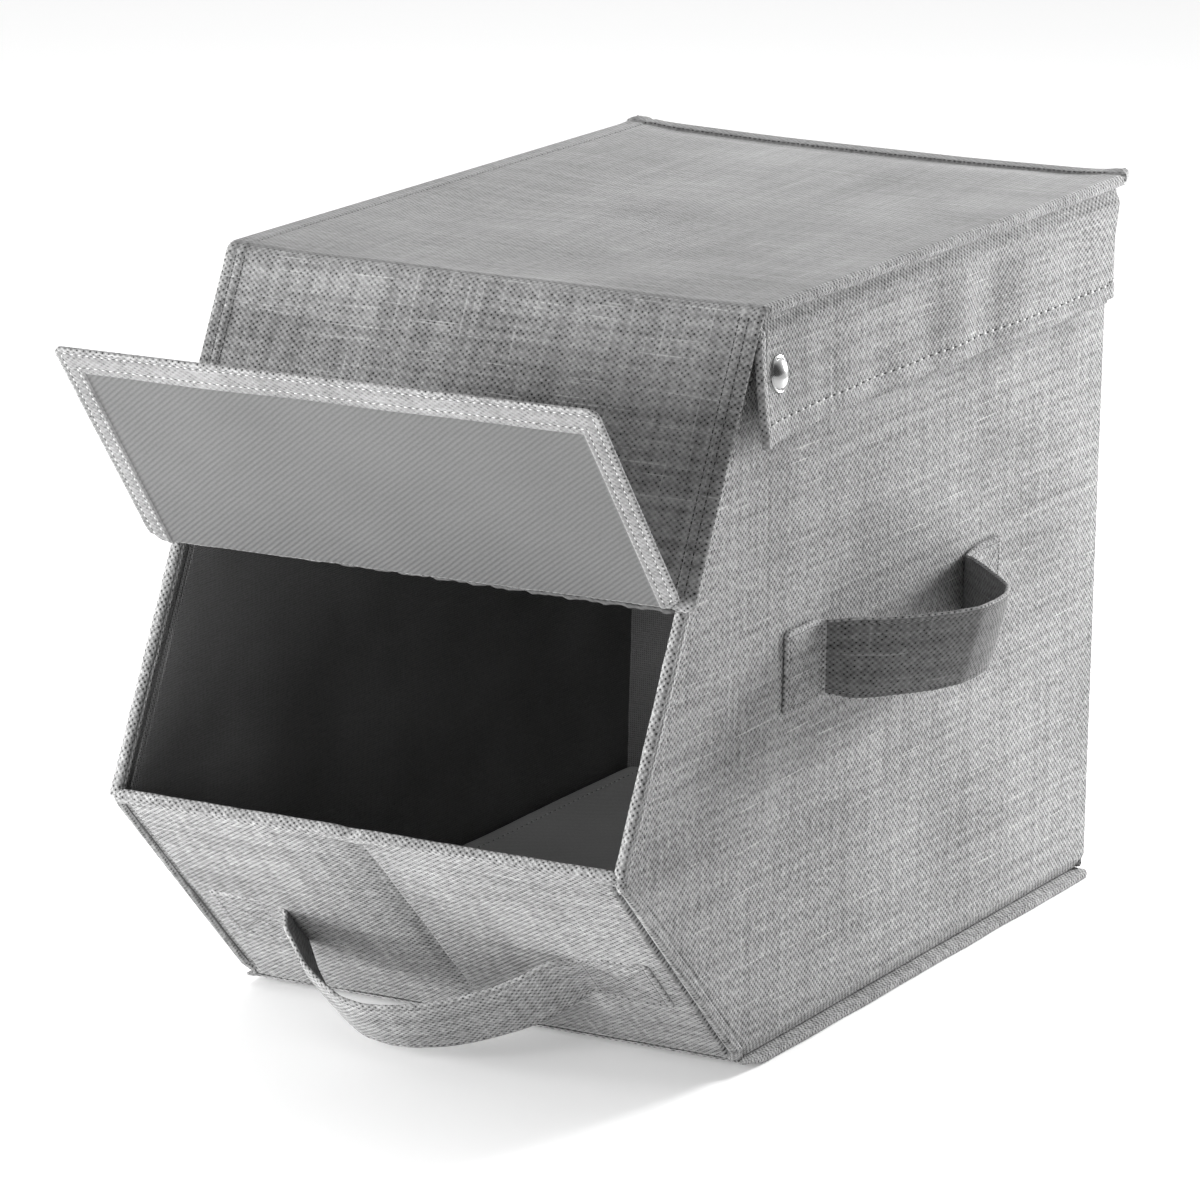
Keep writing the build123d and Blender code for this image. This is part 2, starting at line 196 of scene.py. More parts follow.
class Panel:
    """A grid over one face of a cloth-covered piece, with its thickness and its weave coordinates."""

    def __init__(self, a, b, place, thick, corner=None):
        self.a, self.b = np.array(a, float), np.array(b, float)
        grid_a, grid_b = np.meshgrid(self.a, self.b, indexing="ij")
        if corner:
            low, high = (self.a[0], self.b[0]), (self.a[-1], self.b[-1])
            grid_a, grid_b = rounded(grid_a, grid_b, corner, low, high)
        self.points = place(grid_a, grid_b)
        self.uv = np.stack([grid_a, grid_b], -1)
        self.normals = normals_of(self.points)
        self.thick = thick(grid_a, grid_b) if callable(thick) else np.full(grid_a.shape, thick)

    def mirror(self):
        """The same piece on the other side of the bin."""
        self.points = self.points[::-1] * np.array([-1, 1, 1])
        self.uv, self.thick = self.uv[::-1] * np.array([-1, 1]), self.thick[::-1]
        self.a = -self.a[::-1]
        self.normals = normals_of(self.points)
        return self

    def trace(self, a, b, lift=0.0):
        """Surface points and normals at grid coordinates a, b."""
        i = np.interp(a, self.a, np.arange(len(self.a)))
        j = np.interp(b, self.b, np.arange(len(self.b)))
        i0, j0 = np.minimum(i.astype(int), len(self.a) - 2), np.minimum(j.astype(int), len(self.b) - 2)
        fi, fj = (i - i0)[:, None], (j - j0)[:, None]

        def mix(table):
            low = table[i0, j0] * (1 - fi) + table[i0 + 1, j0] * fi
            high = table[i0, j0 + 1] * (1 - fi) + table[i0 + 1, j0 + 1] * fi
            return low * (1 - fj) + high * fj

        normals = mix(self.normals)
        normals /= np.linalg.norm(normals, axis=1, keepdims=True)
        return mix(self.points) + normals * lift, normals

    def line(self, start, end, lift=0.0):
        """A straight seam between two grid coordinates."""
        count = max(8, int(math.dist(start, end) / (1.5 * MM)))
        return self.trace(np.linspace(start[0], end[0], count), np.linspace(start[1], end[1], count), lift)


def border_loop(nu, nv):
    """Grid indices round the edge, anticlockwise."""
    return ([(i, 0) for i in range(nu - 1)] + [(nu - 1, j) for j in range(nv - 1)]
            + [(i, nv - 1) for i in range(nu - 1, 0, -1)] + [(0, j) for j in range(nv - 1, 0, -1)])


def make_object(name, verts, faces, uvs, skins, materials):
    mesh = bpy.data.meshes.new(name)
    mesh.from_pydata([tuple(v) for v in verts], [], [tuple(int(i) for i in f) for f in faces])
    layer = mesh.uv_layers.new(name="UVMap")
    layer.data.foreach_set("uv", np.asarray(uvs, np.float32).ravel())
    for material in materials:
        mesh.materials.append(material)
    mesh.polygons.foreach_set("material_index", np.asarray(skins, np.int32))
    mesh.polygons.foreach_set("use_smooth", np.ones(len(faces), bool))
    mesh.update()
    obj = bpy.data.objects.new(name, mesh)
    bpy.context.scene.collection.objects.link(obj)
    return obj


def pad(name, panel, materials, back_skin=0, face_skin=None, roll=1.0):
    """Close a panel with its other face and a rolled edge between them."""
    points, normals, uv = panel.points, panel.normals, panel.uv
    nu, nv = points.shape[:2]
    count = nu * nv
    inner = points - normals * panel.thick[..., None]
    index = np.arange(count).reshape(nu, nv)
    quads = np.stack([index[:-1, :-1], index[1:, :-1], index[1:, 1:], index[:-1, 1:]], -1).reshape(-1, 4)
    flat_uv = uv.reshape(-1, 2)
    loop = np.array(border_loop(nu, nv))
    rows, cols = loop[:, 0], loop[:, 1]
    outer_edge, inner_edge, normal = points[rows, cols], inner[rows, cols], normals[rows, cols]
    edge_uv = uv[rows, cols]
    centre = (outer_edge + inner_edge) / 2
    radius = np.linalg.norm(outer_edge - inner_edge, axis=1, keepdims=True) / 2
    out = np.cross(np.roll(outer_edge, -1, 0) - np.roll(outer_edge, 1, 0), normal)
    out /= np.linalg.norm(out, axis=1, keepdims=True)
    turn = np.roll(edge_uv, -1, 0) - np.roll(edge_uv, 1, 0)
    spin = np.sign(np.cross(uv[1, 0] - uv[0, 0], uv[0, 1] - uv[0, 0]))
    out_uv = np.stack([turn[:, 1], -turn[:, 0]], 1) * spin
    out_uv /= np.linalg.norm(out_uv, axis=1, keepdims=True)
    verts = [points.reshape(-1, 3), inner.reshape(-1, 3)]
    rings, ring_uvs = [index[rows, cols]], [edge_uv]
    for step in range(1, RIM_STEPS):
        angle = math.pi * step / RIM_STEPS
        verts.append(centre + normal * radius * math.cos(angle) + out * radius * roll * math.sin(angle))
        rings.append(2 * count + (step - 1) * len(loop) + np.arange(len(loop)))
        ring_uvs.append(edge_uv + out_uv * radius * angle)
    rings.append(count + index[rows, cols])
    ring_uvs.append(edge_uv + out_uv * radius * math.pi)
    faces, face_uvs = [quads, quads[:, ::-1] + count], [flat_uv[quads], flat_uv[quads[:, ::-1]]]
    for (low, low_uv), (high, high_uv) in zip(zip(rings, ring_uvs), zip(rings[1:], ring_uvs[1:])):
        faces.append(np.stack([np.roll(low, -1), low, high, np.roll(high, -1)], 1))
        face_uvs.append(np.stack([np.roll(low_uv, -1, 0), low_uv, high_uv, np.roll(high_uv, -1, 0)], 1))
    front = np.zeros(len(quads), int) if face_skin is None else face_skin(panel).reshape(-1)
    skins = np.concatenate([front, np.full(len(quads), back_skin), np.zeros(len(loop) * RIM_STEPS, int)])
    faces, face_uvs = np.concatenate(faces), np.concatenate(face_uvs)
    return make_object(name, np.concatenate(verts), faces, face_uvs, skins, materials)


def stitches(name, seams, pitch, share=0.5, slot=0.3, radius=0.38 * MM, yarn=None):
    """Threads along seams, each dipping into the cloth at both ends, with a dark slot between them: painted shade
    for the needle holes.
    """
    verts, faces, skins = [], [], []
    profile = [(-0.5, 0.25, -0.7), (-0.36, 0.9, -0.1), (0.0, 1.0, 0.25), (0.36, 0.9, -0.1), (0.5, 0.25, -0.7)]
    sides = 6
    for points, normals in seams:
        lengths = np.concatenate([[0], np.cumsum(np.linalg.norm(np.diff(points, axis=0), axis=1))])
        count = max(1, int(round(lengths[-1] / pitch)))
        real = lengths[-1] / count
        for k in range(count):
            middle = (k + 0.5) * real
            ends = [middle - real / 2, middle + real / 2]
            p = np.array([np.interp(middle, lengths, points[:, i]) for i in range(3)])
            n = unit(np.array([np.interp(middle, lengths, normals[:, i]) for i in range(3)]))
            tips = [np.array([np.interp(e, lengths, points[:, i]) for i in range(3)]) for e in ends]
            t = unit(tips[1] - tips[0])
            side = np.cross(n, t)
            base = len(verts)
            for place, size, rise in profile:
                ring = p + t * place * real * share + n * rise * radius
                for m in range(sides):
                    angle = math.tau * m / sides
                    verts.append(ring + (side * math.cos(angle) + n * math.sin(angle) * 0.8) * radius * size)
            for r in range(len(profile) - 1):
                for m in range(sides):
                    a, b = base + r * sides + m, base + r * sides + (m + 1) % sides
                    faces.append((a, b, b + sides, a + sides))
                    skins.append(0)
            faces.append(tuple(base + m for m in reversed(range(sides))))
            faces.append(tuple(base + (len(profile) - 1) * sides + m for m in range(sides)))
            skins += [0, 0]
            # the slot takes the near-black needle-hole material: painted shade for the hole
            hole = tips[1] - n * 0.22 * MM
            base = len(verts)
            for height, size in ((0.0, 1.0), (0.34 * MM, 0.8)):
                for m in range(sides):
                    angle = math.tau * m / sides
                    spoke = t * math.cos(angle) * slot * real / 2 + side * math.sin(angle) * radius * 0.95
                    verts.append(hole + n * height + spoke * size)
            for m in range(sides):
                a, b = base + m, base + (m + 1) % sides
                faces.append((a, b, b + sides, a + sides))
                skins.append(1)
            faces.append(tuple(base + sides + m for m in range(sides)))
            faces.append(tuple(base + m for m in reversed(range(sides))))
            skins += [1, 1]
    uvs = np.zeros((sum(len(f) for f in faces), 2))
    return make_object(name, verts, faces, uvs, skins, [yarn or THREAD, NEEDLE_HOLE_SHADE])


# ------------------------------------------------------------------ materials
class Nodes:
    """Short names for the shader nodes that the materials are made of."""

    def __init__(self, name):
        self.material = bpy.data.materials.new(name)
        self.material.use_nodes = True
        self.tree = self.material.node_tree
        self.shader = self.tree.nodes["Principled BSDF"]

    def feed(self, socket, value):
        if isinstance(value, bpy.types.NodeSocket):
            self.tree.links.new(value, socket)
        else:
            socket.default_value = value

    def math(self, operation, *values):
        node = self.tree.nodes.new("ShaderNodeMath")
        node.operation = operation
        for socket, value in zip(node.inputs, values):
            self.feed(socket, value)
        return node.outputs[0]

    def add(self, *values):
        total = values[0]
        for value in values[1:]:
            total = self.math("ADD", total, value)
        return total

    def times(self, a, b):
        return self.math("MULTIPLY", a, b)

    def step(self, value, low, high, out_low=0.0, out_high=1.0):
        node = self.tree.nodes.new("ShaderNodeMapRange")
        node.interpolation_type = "SMOOTHSTEP"
        for socket, setting in zip(node.inputs, (value, low, high, out_low, out_high)):
            self.feed(socket, setting)
        return node.outputs[0]

    def uv(self):
        node = self.tree.nodes.new("ShaderNodeUVMap")
        node.uv_map = "UVMap"
        split = self.tree.nodes.new("ShaderNodeSeparateXYZ")
        self.tree.links.new(node.outputs[0], split.inputs[0])
        return split.outputs[0], split.outputs[1]

    def noise(self, x, y, z=0.0, detail=2.0, roughness=0.5):
        join = self.tree.nodes.new("ShaderNodeCombineXYZ")
        for socket, value in zip(join.inputs, (x, y, z)):
            self.feed(socket, value)
        node = self.tree.nodes.new("ShaderNodeTexNoise")
        node.inputs["Scale"].default_value = 1.0
        node.inputs["Detail"].default_value = detail
        node.inputs["Roughness"].default_value = roughness
        self.tree.links.new(join.outputs[0], node.inputs["Vector"])
        return node.outputs["Fac"]

    def ramp(self, value, dark, light):
        node = self.tree.nodes.new("ShaderNodeMix")
        node.data_type = "RGBA"
        self.feed(node.inputs[0], value)
        node.inputs[6].default_value = (*dark, 1)
        node.inputs[7].default_value = (*light, 1)
        return node.outputs[2]

    def bump(self, height, distance, strength=1.0):
        node = self.tree.nodes.new("ShaderNodeBump")
        node.inputs["Distance"].default_value = distance
        node.inputs["Strength"].default_value = strength
        self.tree.links.new(height, node.inputs["Height"])
        self.tree.links.new(node.outputs[0], self.shader.inputs["Normal"])


def grey(level):
    return (level, level, level)


WARP = 1.50 * MM         # thread spacing across the cloth
WEFT = 1.29 * MM         # thread spacing along it


def linen(name, level, pores=1.0, slubs=1.0):
    """Slubby plain weave: dark pores between the threads, pale slubs along both thread directions."""
    n = Nodes(name)
    u, v = n.uv()
    wander = n.noise(n.times(u, 60.0), n.times(v, 60.0), 3.0, 1.0)
    across = n.add(n.times(u, math.pi / WARP), n.times(wander, 3.0))
    up = n.add(n.times(v, math.pi / WEFT), n.times(wander, 2.2))
    lattice = n.times(n.math("COSINE", across), n.math("COSINE", up))
    patch = n.step(n.noise(n.times(u, 0.30 / WARP), n.times(v, 0.45 / WEFT), 53.0, 1.0), 0.36, 0.64, 0.35, 1.25)
    pore = n.times(n.step(lattice, 0.30, 0.92), patch)
    knuckle = n.step(lattice, -0.25, -0.95)
    weft_slub = n.step(n.noise(n.times(u, 26.0), n.times(v, 1 / WEFT), 7.0, 1.0), 0.60, 0.80)
    warp_slub = n.step(n.noise(n.times(u, 0.9 / WARP), n.times(v, 22.0), 11.0, 1.0), 0.60, 0.82)
    weft_band = n.noise(n.times(u, 6.0), n.times(v, 260.0), 17.0, 2.0)
    warp_band = n.noise(n.times(u, 240.0), n.times(v, 6.0), 23.0, 2.0)
    cloud = n.noise(n.times(u, 16.0), n.times(v, 16.0), 31.0, 3.0)
    fleck = n.noise(n.times(u, 0.5 / WARP), n.times(v, 0.6 / WEFT), 41.0, 0.0)
    tone = n.add(
        0.48,
        n.times(pore, -0.52 * pores),
        n.times(knuckle, 0.26 * pores),
        n.times(weft_slub, 0.36 * slubs),
        n.times(warp_slub, 0.22 * slubs),
        n.times(n.math("SUBTRACT", weft_band, 0.5), 0.48 * slubs),
        n.times(n.math("SUBTRACT", warp_band, 0.5), 0.34 * slubs),
        n.times(n.math("SUBTRACT", cloud, 0.5), 0.42),
        n.times(n.math("SUBTRACT", fleck, 0.5), 0.55 * pores),
    )
    n.tree.links.new(n.ramp(tone, grey(level * 0.12), grey(level * 1.95)), n.shader.inputs["Base Color"])
    n.shader.inputs["Roughness"].default_value = 0.92
    n.shader.inputs["Specular IOR Level"].default_value = 0.25
    n.shader.inputs["Sheen Weight"].default_value = 0.12
    n.shader.inputs["Sheen Roughness"].default_value = 0.5
    height = n.add(n.times(pore, -1.0), n.times(knuckle, 0.5), n.times(weft_slub, 0.4), n.times(fleck, 0.3))
    n.bump(height, 0.45 * MM * pores, 1.0)
    return n.material


def twill(name, level, rib=3.2 * MM):
    """Diagonal-ribbed lining cloth."""
    n = Nodes(name)
    u, v = n.uv()
    wander = n.noise(n.times(u, 30.0), n.times(v, 30.0), 5.0, 2.0)
    slant = n.add(n.times(u, math.tau / rib), n.times(v, -math.tau / rib * 1.14), n.times(wander, 3.0))
    wave = n.math("SINE", slant)
    yarn = n.noise(n.times(u, 900.0), n.times(v, 900.0), 9.0, 1.0)
    cloud = n.noise(n.times(u, 14.0), n.times(v, 14.0), 13.0, 3.0)
    tone = n.add(0.5, n.times(wave, 0.045), n.times(n.math("SUBTRACT", yarn, 0.5), 0.30),
                 n.times(n.math("SUBTRACT", cloud, 0.5), 0.22))
    n.tree.links.new(n.ramp(tone, grey(level * 0.45), grey(level * 1.55)), n.shader.inputs["Base Color"])
    n.shader.inputs["Roughness"].default_value = 0.9
    n.shader.inputs["Specular IOR Level"].default_value = 0.25
    n.bump(n.add(wave, n.times(yarn, 0.9)), 0.08 * MM, 0.8)
    return n.material


def nonwoven(name, level):
    """Dark bonded lining, embossed with a fine cross grid."""
    n = Nodes(name)
    u, v = n.uv()
    pitch = 2.1 * MM
    lines = n.times(n.math("COSINE", n.times(n.add(u, v), math.tau / pitch)),
                    n.math("COSINE", n.times(n.math("SUBTRACT", u, v), math.tau / pitch)))
    dimple = n.step(lines, 0.1, 0.8)
    fibre = n.noise(n.times(u, 700.0), n.times(v, 700.0), 2.0, 3.0)
    cloud = n.noise(n.times(u, 20.0), n.times(v, 20.0), 19.0, 3.0)
    tone = n.add(0.45, n.times(dimple, -0.36), n.times(n.math("SUBTRACT", fibre, 0.5), 0.5),
                 n.times(n.math("SUBTRACT", cloud, 0.5), 0.35))
    n.tree.links.new(n.ramp(tone, grey(level * 0.4), grey(level * 1.7)), n.shader.inputs["Base Color"])
    n.shader.inputs["Roughness"].default_value = 0.72
    n.shader.inputs["Specular IOR Level"].default_value = 0.35
    n.bump(n.add(n.times(dimple, -1.0), n.times(fibre, 0.5)), 0.26 * MM, 1.0)
    return n.material


def object_noise(n, scale, detail=3.0):
    """Noise over the object's own coordinates, for small parts that carry no weave."""
    place = n.tree.nodes.new("ShaderNodeTexCoord")
    node = n.tree.nodes.new("ShaderNodeTexNoise")
    node.inputs["Scale"].default_value = scale
    node.inputs["Detail"].default_value = detail
    n.tree.links.new(place.outputs["Object"], node.inputs["Vector"])
    return node.outputs["Fac"]


def thread(name, low, high, roughness=0.8):
    n = Nodes(name)
    fac = object_noise(n, 900.0)
    n.tree.links.new(n.ramp(fac, grey(low), grey(high)), n.shader.inputs["Base Color"])
    n.shader.inputs["Roughness"].default_value = roughness
    n.bump(fac, 0.1 * MM, 0.6)
    return n.material


def chrome(name):
    n = Nodes(name)
    smudge = object_noise(n, 260.0)
    n.tree.links.new(n.ramp(smudge, grey(0.34), grey(0.44)), n.shader.inputs["Base Color"])
    n.shader.inputs["Metallic"].default_value = 1.0
    n.tree.links.new(n.step(smudge, 0.3, 0.7, 0.14, 0.22), n.shader.inputs["Roughness"])
    n.bump(object_noise(n, 90.0, 1.0), 0.003 * MM, 0.3)
    return n.material


LINEN = linen("grey_linen", 0.255)
LID_LINEN = linen("lid_linen", 0.265, pores=0.7, slubs=1.25)
# painted shade: a darker copy of the lid cloth for the up-facing lid top, with fainter pores
TOP_LINEN_SHADED = linen("top_linen_painted_shade", 0.205, pores=0.35, slubs=0.6)
# painted shade: a darker copy of the wall linen for the flap's border, which faces the low front light
BORDER_LINEN_SHADED = linen("border_linen_painted_shade", 0.20, pores=0.45, slubs=0.7)
# painted shade: a darker copy of the wall linen (same cloth) for the handle straps, standing in for the shade on
# the loops
STRAP_LINEN_SHADED = linen("strap_linen_painted_shade", 0.11, pores=0.8, slubs=0.8)
TWILL = twill("grey_twill", 0.120)
# painted light: a much paler copy of the grey twill for the floor insert, standing in for light that the inside
# of the bin lacks
FLOOR_TWILL_LIT = twill("floor_twill_painted_light", 0.68)
# painted shade: a dark grey twill for the roll along the flap's fold, standing in for the shadow on that strip
FOLD_ROLL_SHADED = twill("fold_roll_painted_shade", 0.09)
# black lining, partly painted light: its own dark tone raised well above black so that the dim inside of the bin
# reads lighter
BLACK_LIT = nonwoven("black_nonwoven_painted_light", 0.19)
CHARCOAL = nonwoven("charcoal_nonwoven", 0.19)
THREAD = thread("grey_thread", 0.45, 0.75)
# painted shade: a dark copy of the grey thread for seams sunk in grooves on the lid and straps
SHADED_THREAD = thread("thread_painted_shade", 0.14, 0.26)
# painted shade: near-black for the slots that stand in for the shade in needle holes
NEEDLE_HOLE_SHADE = thread("needle_hole_painted_shade", 0.02, 0.06, 0.95)
CHROME = chrome("polished_chrome")


# ------------------------------------------------------------------ tub
def wall_front(z):
    """Where the side wall's front edge is, at height z."""
    low = FOOT[0] + (z - FOOT[1]) * FRONT_UP[0] / FRONT_UP[1]
    high = LIP[0] + (z - LIP[1]) * SLOPE[0] / SLOPE[1]
    return np.where(z < LIP[1], low, high)


def side_wall(sign):
    word = "right" if sign > 0 else "left"
    inset = WALL / 2
    low, high = BASE_TOP + inset, RIM_Z - 3 * MM
    rows = np.unique(np.concatenate([stations(low, high, 5 * MM), [LIP[1]]]))
    share = np.unique(np.concatenate([stations(0, 1, 0.011, (0.0035, 0.007)), np.linspace(0, 0.052, 27)]))

    ridge = -0.7 * MM if sign > 0 else 1.4 * MM
    hem = 15 * MM

    def place(f, z):
        start = wall_front(z) + np.where(z < LIP[1], ridge, 2.2 * MM)
        y = start + f * (BACK_Y - inset - start)
        edge = smooth(np.minimum(f, 1 - f), 0, 0.12) * smooth(np.minimum(z - low, high - z), 0, 40 * MM)
        x = WALL_X + edge * 0.7 * MM * ripple(y, z, 3 if sign > 0 else 4, 150 * MM)
        ahead = y - wall_front(z)
        lower = 1 - smooth(z, LIP[1] - 8 * MM, LIP[1] - 2 * MM)
        x = x - 2.4 * MM * (1 - smooth(z - low, 0, 5 * MM))
        x = x + lower * (0.5 * MM * (1 - smooth(ahead, 4.2 * MM, 5.6 * MM)) + groove(ahead, 6.0 * MM, 0.8 * MM))
        band = 0.45 * MM * (1 - smooth(ahead, hem - 1 * MM, hem + 0.6 * MM)) + groove(ahead, hem - 1.6 * MM, depth=0.5 * MM)
        x = x + (1 - lower) * smooth(ahead, 5 * MM, 7 * MM) * band
        return np.stack([x, y, z], -1)

    panel = Panel(share, rows, place, WALL)
    panel.uv = panel.points[..., 1:]
    heights = np.linspace(LIP[1] + 4 * MM, high - 2 * MM, 90)
    start = wall_front(heights)
    shares = (hem - 3.8 * MM) / (BACK_Y - inset - start - 2.2 * MM)
    points, normals = panel.trace(shares, heights)
    if sign < 0:
        flip = np.array([-1, 1, 1])
        points, normals = points * flip, normals * flip
        panel.mirror()
        panel.uv = panel.points[..., 1:] * np.array([-1, 1])
    sewn = stitches(f"{word}_mouth_seam", [(points, normals)], 3.4 * MM, slot=0.4, radius=0.3 * MM)
    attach(sewn, "tub")
    wall = pad(f"{word}_wall", panel, [LINEN, BLACK_LIT], back_skin=1)
    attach(wall, "tub")
    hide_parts(f"{word}_side_cover", f"{word}_side_board", f"{word}_side_lining")


def crease(x, depth, width):
    """The valley between a panel's two boards."""
    return -depth / (1 + (x / width) ** 2)


def front_wall():
    half = WALL_X - 1.6 * MM
    inset = WALL / 2

    def place(x, t):
        fade = smooth(t, 0, 30 * MM) * (1 - 0.75 * smooth(t, FRONT_LENGTH - 16 * MM, FRONT_LENGTH - 2 * MM))
        bow = 1.6 * MM * np.cos(math.pi * np.clip(np.abs(np.abs(x) - half / 2) / (half / 2), 0, 1) / 2)
        off = x + 4 * MM * t / FRONT_LENGTH
        sunk = np.where(off < 0, np.exp(-np.abs(off / (9 * MM)) ** 1.2), np.exp(-np.abs(off / (1.1 * MM)) ** 1.5))
        h = bow * smooth(t, 0, 40 * MM) - 4.6 * MM * sunk * (0.12 + 0.88 * fade)
        h = h + 0.35 * MM * ripple(x, t, 8, 70 * MM)
        sewn = np.where(x > 0, 6.0 * MM, 1.5 * MM) * (1 - smooth(half - np.abs(x), 3.4 * MM, 6.2 * MM))
        h = h - sewn * smooth(t, 1 * MM, 8 * MM) * smooth(FRONT_LENGTH - t, 3 * MM, 9 * MM)
        spot = FOOT + np.multiply.outer(t, FRONT_UP) + np.multiply.outer(h, FRONT_OUT)
        return from_yz(x, spot)

    xs = np.concatenate([stations(-half + inset, half - inset, 4 * MM, (2.4 * MM, 3 * MM, 3.4 * MM, 3.8 * MM, 4.2 * MM, 4.8 * MM, 5.4 * MM, 6 * MM)),
                         np.linspace(-18 * MM, 10 * MM, 45)])
    xs = np.unique(np.round(xs, 6))
    xs = xs[np.concatenate([[True], np.diff(xs) > 0.3 * MM])]
    panel = Panel(xs, stations(inset, FRONT_LENGTH - 2.5 * MM, 4 * MM), place, WALL)
    wall = pad("front_panel", panel, [LINEN, BLACK_LIT], back_skin=1)
    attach(wall, "tub")
    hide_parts("front_cover", "front_board_left", "front_board_right", "front_lining")


def back_wall():
    half = WALL_X - 0.8 * MM
    inset = WALL / 2

    def place(a, z):
        h = crease(a, 2.2 * MM, 5 * MM) + 0.5 * MM * ripple(a, z, 12, 120 * MM)
        return np.stack([-a, BACK_Y + h - 0.5 * MM, z], -1)

    xs = np.unique(np.round(np.concatenate([stations(-half + inset, half - inset, 5 * MM),
                                            np.linspace(-14 * MM, 14 * MM, 15)]), 6))
    panel = Panel(xs, stations(BASE_TOP + inset, RIM_Z - 3 * MM, 5 * MM), place, WALL)
    wall = pad("back_panel", panel, [LINEN, CHARCOAL], back_skin=1)
    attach(wall, "tub")
    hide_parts("back_cover", "back_board_left", "back_board_right", "back_lining")


def folded_edge(half, reach):
    """A folded strip's outline as (across, down) pairs: sewn edge, stitch groove, rolled crest and back."""
    side = [(half * 0.92, reach), (half * 0.96, 4.6 * MM), (half * 0.94, 3.6 * MM), (half * 0.80, 3.0 * MM),
            (half * 0.94, 2.4 * MM)]
    crest = [(half * math.cos(math.pi * k / 10), 1.9 * MM * (1 - math.sin(math.pi * k / 10) ** 0.6))
             for k in range(11)]
    return np.array(side + crest + [(-across, down) for across, down in reversed(side)])


def binding(name, line, width_dir, centre_offset, node, seed):
    """A folded cloth strip sewn over an open edge: line is its crest in (x, y, z)."""
    steps = np.concatenate([[0], np.cumsum(np.linalg.norm(np.diff(line, axis=0), axis=1))])
    profile = folded_edge(WALL / 2 + 0.75 * MM, 6.2 * MM)
    rolls = np.concatenate([[0], np.cumsum(np.linalg.norm(np.diff(profile, axis=0), axis=1))])
    sides = len(profile)
    tangent = np.gradient(line, axis=0)
    tangent /= np.linalg.norm(tangent, axis=1, keepdims=True)
    verts, uvs_grid = [], []
    for s, p, t in zip(steps, line, tangent):
        down = unit(np.cross(t, width_dir))
        if down @ centre_offset < 0:
            down = -down
        puff = 1 + 0.03 * math.sin(s * 210 + seed) + 0.02 * math.sin(s * 543 + 2 * seed)
        for roll, (across, depth) in zip(rolls, profile):
            verts.append(p + width_dir * across * puff + down * depth)
            uvs_grid.append((s, roll))
    count = len(line)
    faces, uvs = [], []
    for k in range(count - 1):
        for m in range(sides):
            ring = [k * sides + m, k * sides + (m + 1) % sides,
                    (k + 1) * sides + (m + 1) % sides, (k + 1) * sides + m]
            faces.append(ring)
            uvs += [uvs_grid[i] for i in ring]
    for cap in (list(range(sides)), list(reversed(range((count - 1) * sides, count * sides)))):
        faces.append(cap)
        uvs += [uvs_grid[i] for i in cap]
    obj = make_object(name, verts, faces, uvs, [0] * len(faces), [LINEN])
    fix_normals(obj)
    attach(obj, "tub")
    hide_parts(node)
    return obj


def fix_normals(obj):
    """Point every face outwards."""
    bm = bmesh.new()
    bm.from_mesh(obj.data)
    bmesh.ops.recalc_face_normals(bm, faces=bm.faces)
    bm.to_mesh(obj.data)
    bm.free()


def bindings():
    mid = WALL_X - WALL / 2
    rim = [(LIP[0], LIP[1]), (TOP_FRONT[0], TOP_FRONT[1]), (BACK_Y, RIM_Z)]
    line, _ = route(rim, [6 * MM], 2 * MM)
    for sign, word in ((1, "right"), (-1, "left")):
        crest = from_yz(np.full(len(line), sign * mid), line)
        binding(f"{word}_rim_edge", crest, np.array([1.0, 0, 0]), np.array([0, 0.4, -1]),
                f"{word}_rim_binding", 1.0 + sign)
    xs = np.linspace(-mid + 1 * MM, mid - 1 * MM, 110)
    lip_mid = LIP - FRONT_OUT * WALL / 2
    sag = 0.6 * MM * ripple(xs, 0 * xs, 5, 120 * MM) - 1.3 * MM * np.exp(-((xs + 6 * MM) / (4 * MM)) ** 2)
    crest = np.stack([xs, lip_mid[0] + FRONT_UP[0] * sag, lip_mid[1] + FRONT_UP[1] * sag], 1)
    binding("lip_edge", crest, np.array([0, *FRONT_OUT]), np.array([0, 0.7, -0.7]), "lip_binding", 5.0)
    crest = np.stack([xs, np.full(len(xs), BACK_Y - WALL / 2), np.full(len(xs), RIM_Z)], 1)
    binding("back_rim_edge", crest, np.array([0, 1.0, 0]), np.array([0, 0, -1.0]), "back_rim_binding", 9.0)


def base():
    low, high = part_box("base_cover")[0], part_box("base_lining")[1]
    full = high.z - low.z
    inset = 1.2 * MM

    def step(x, y):
        edge = np.minimum(high.x - np.abs(x), high.y - y)
        rear = smooth(y, low.y + 6 * MM, low.y + 26 * MM)
        return (full - 3.8 * MM) * (1 - smooth(edge, 4 * MM, 7.5 * MM)) * rear

    def thick(x, y):
        return full - step(x, y) - 4.1 * MM * (1 - smooth(y, low.y + 1 * MM, low.y + 24 * MM))

    def place(x, y):
        edge = np.minimum(high.x - np.abs(x), np.minimum(y - low.y, high.y - y))
        wave = 0.5 * MM * ripple(x, y, 21, 60 * MM) * (1 - smooth(edge, 4 * MM, 12 * MM))
        y = y + 3.2 * MM * (1 - smooth(y, low.y, low.y + 20 * MM)) * smooth(high.x - np.abs(x), 1 * MM, 9 * MM)
        out = 1 + wave / 0.13
        return np.stack([x * out, y, high.z - step(x, y)], -1)

    marks = (3 * MM, 4 * MM, 5 * MM, 6 * MM, 7 * MM)
    slim = inset + 1.8 * MM
    panel = Panel(stations(low.x + slim, high.x - slim, 6 * MM, marks),
                  stations(low.y + inset, high.y - slim, 6 * MM, marks), place, thick, corner=(3 * MM, 3 * MM))
    obj = pad("base_panel", panel, [LINEN], roll=0.55)
    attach(obj, "tub")
    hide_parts("base_cover", "base_board", "base_seam_welt", "base_lining")


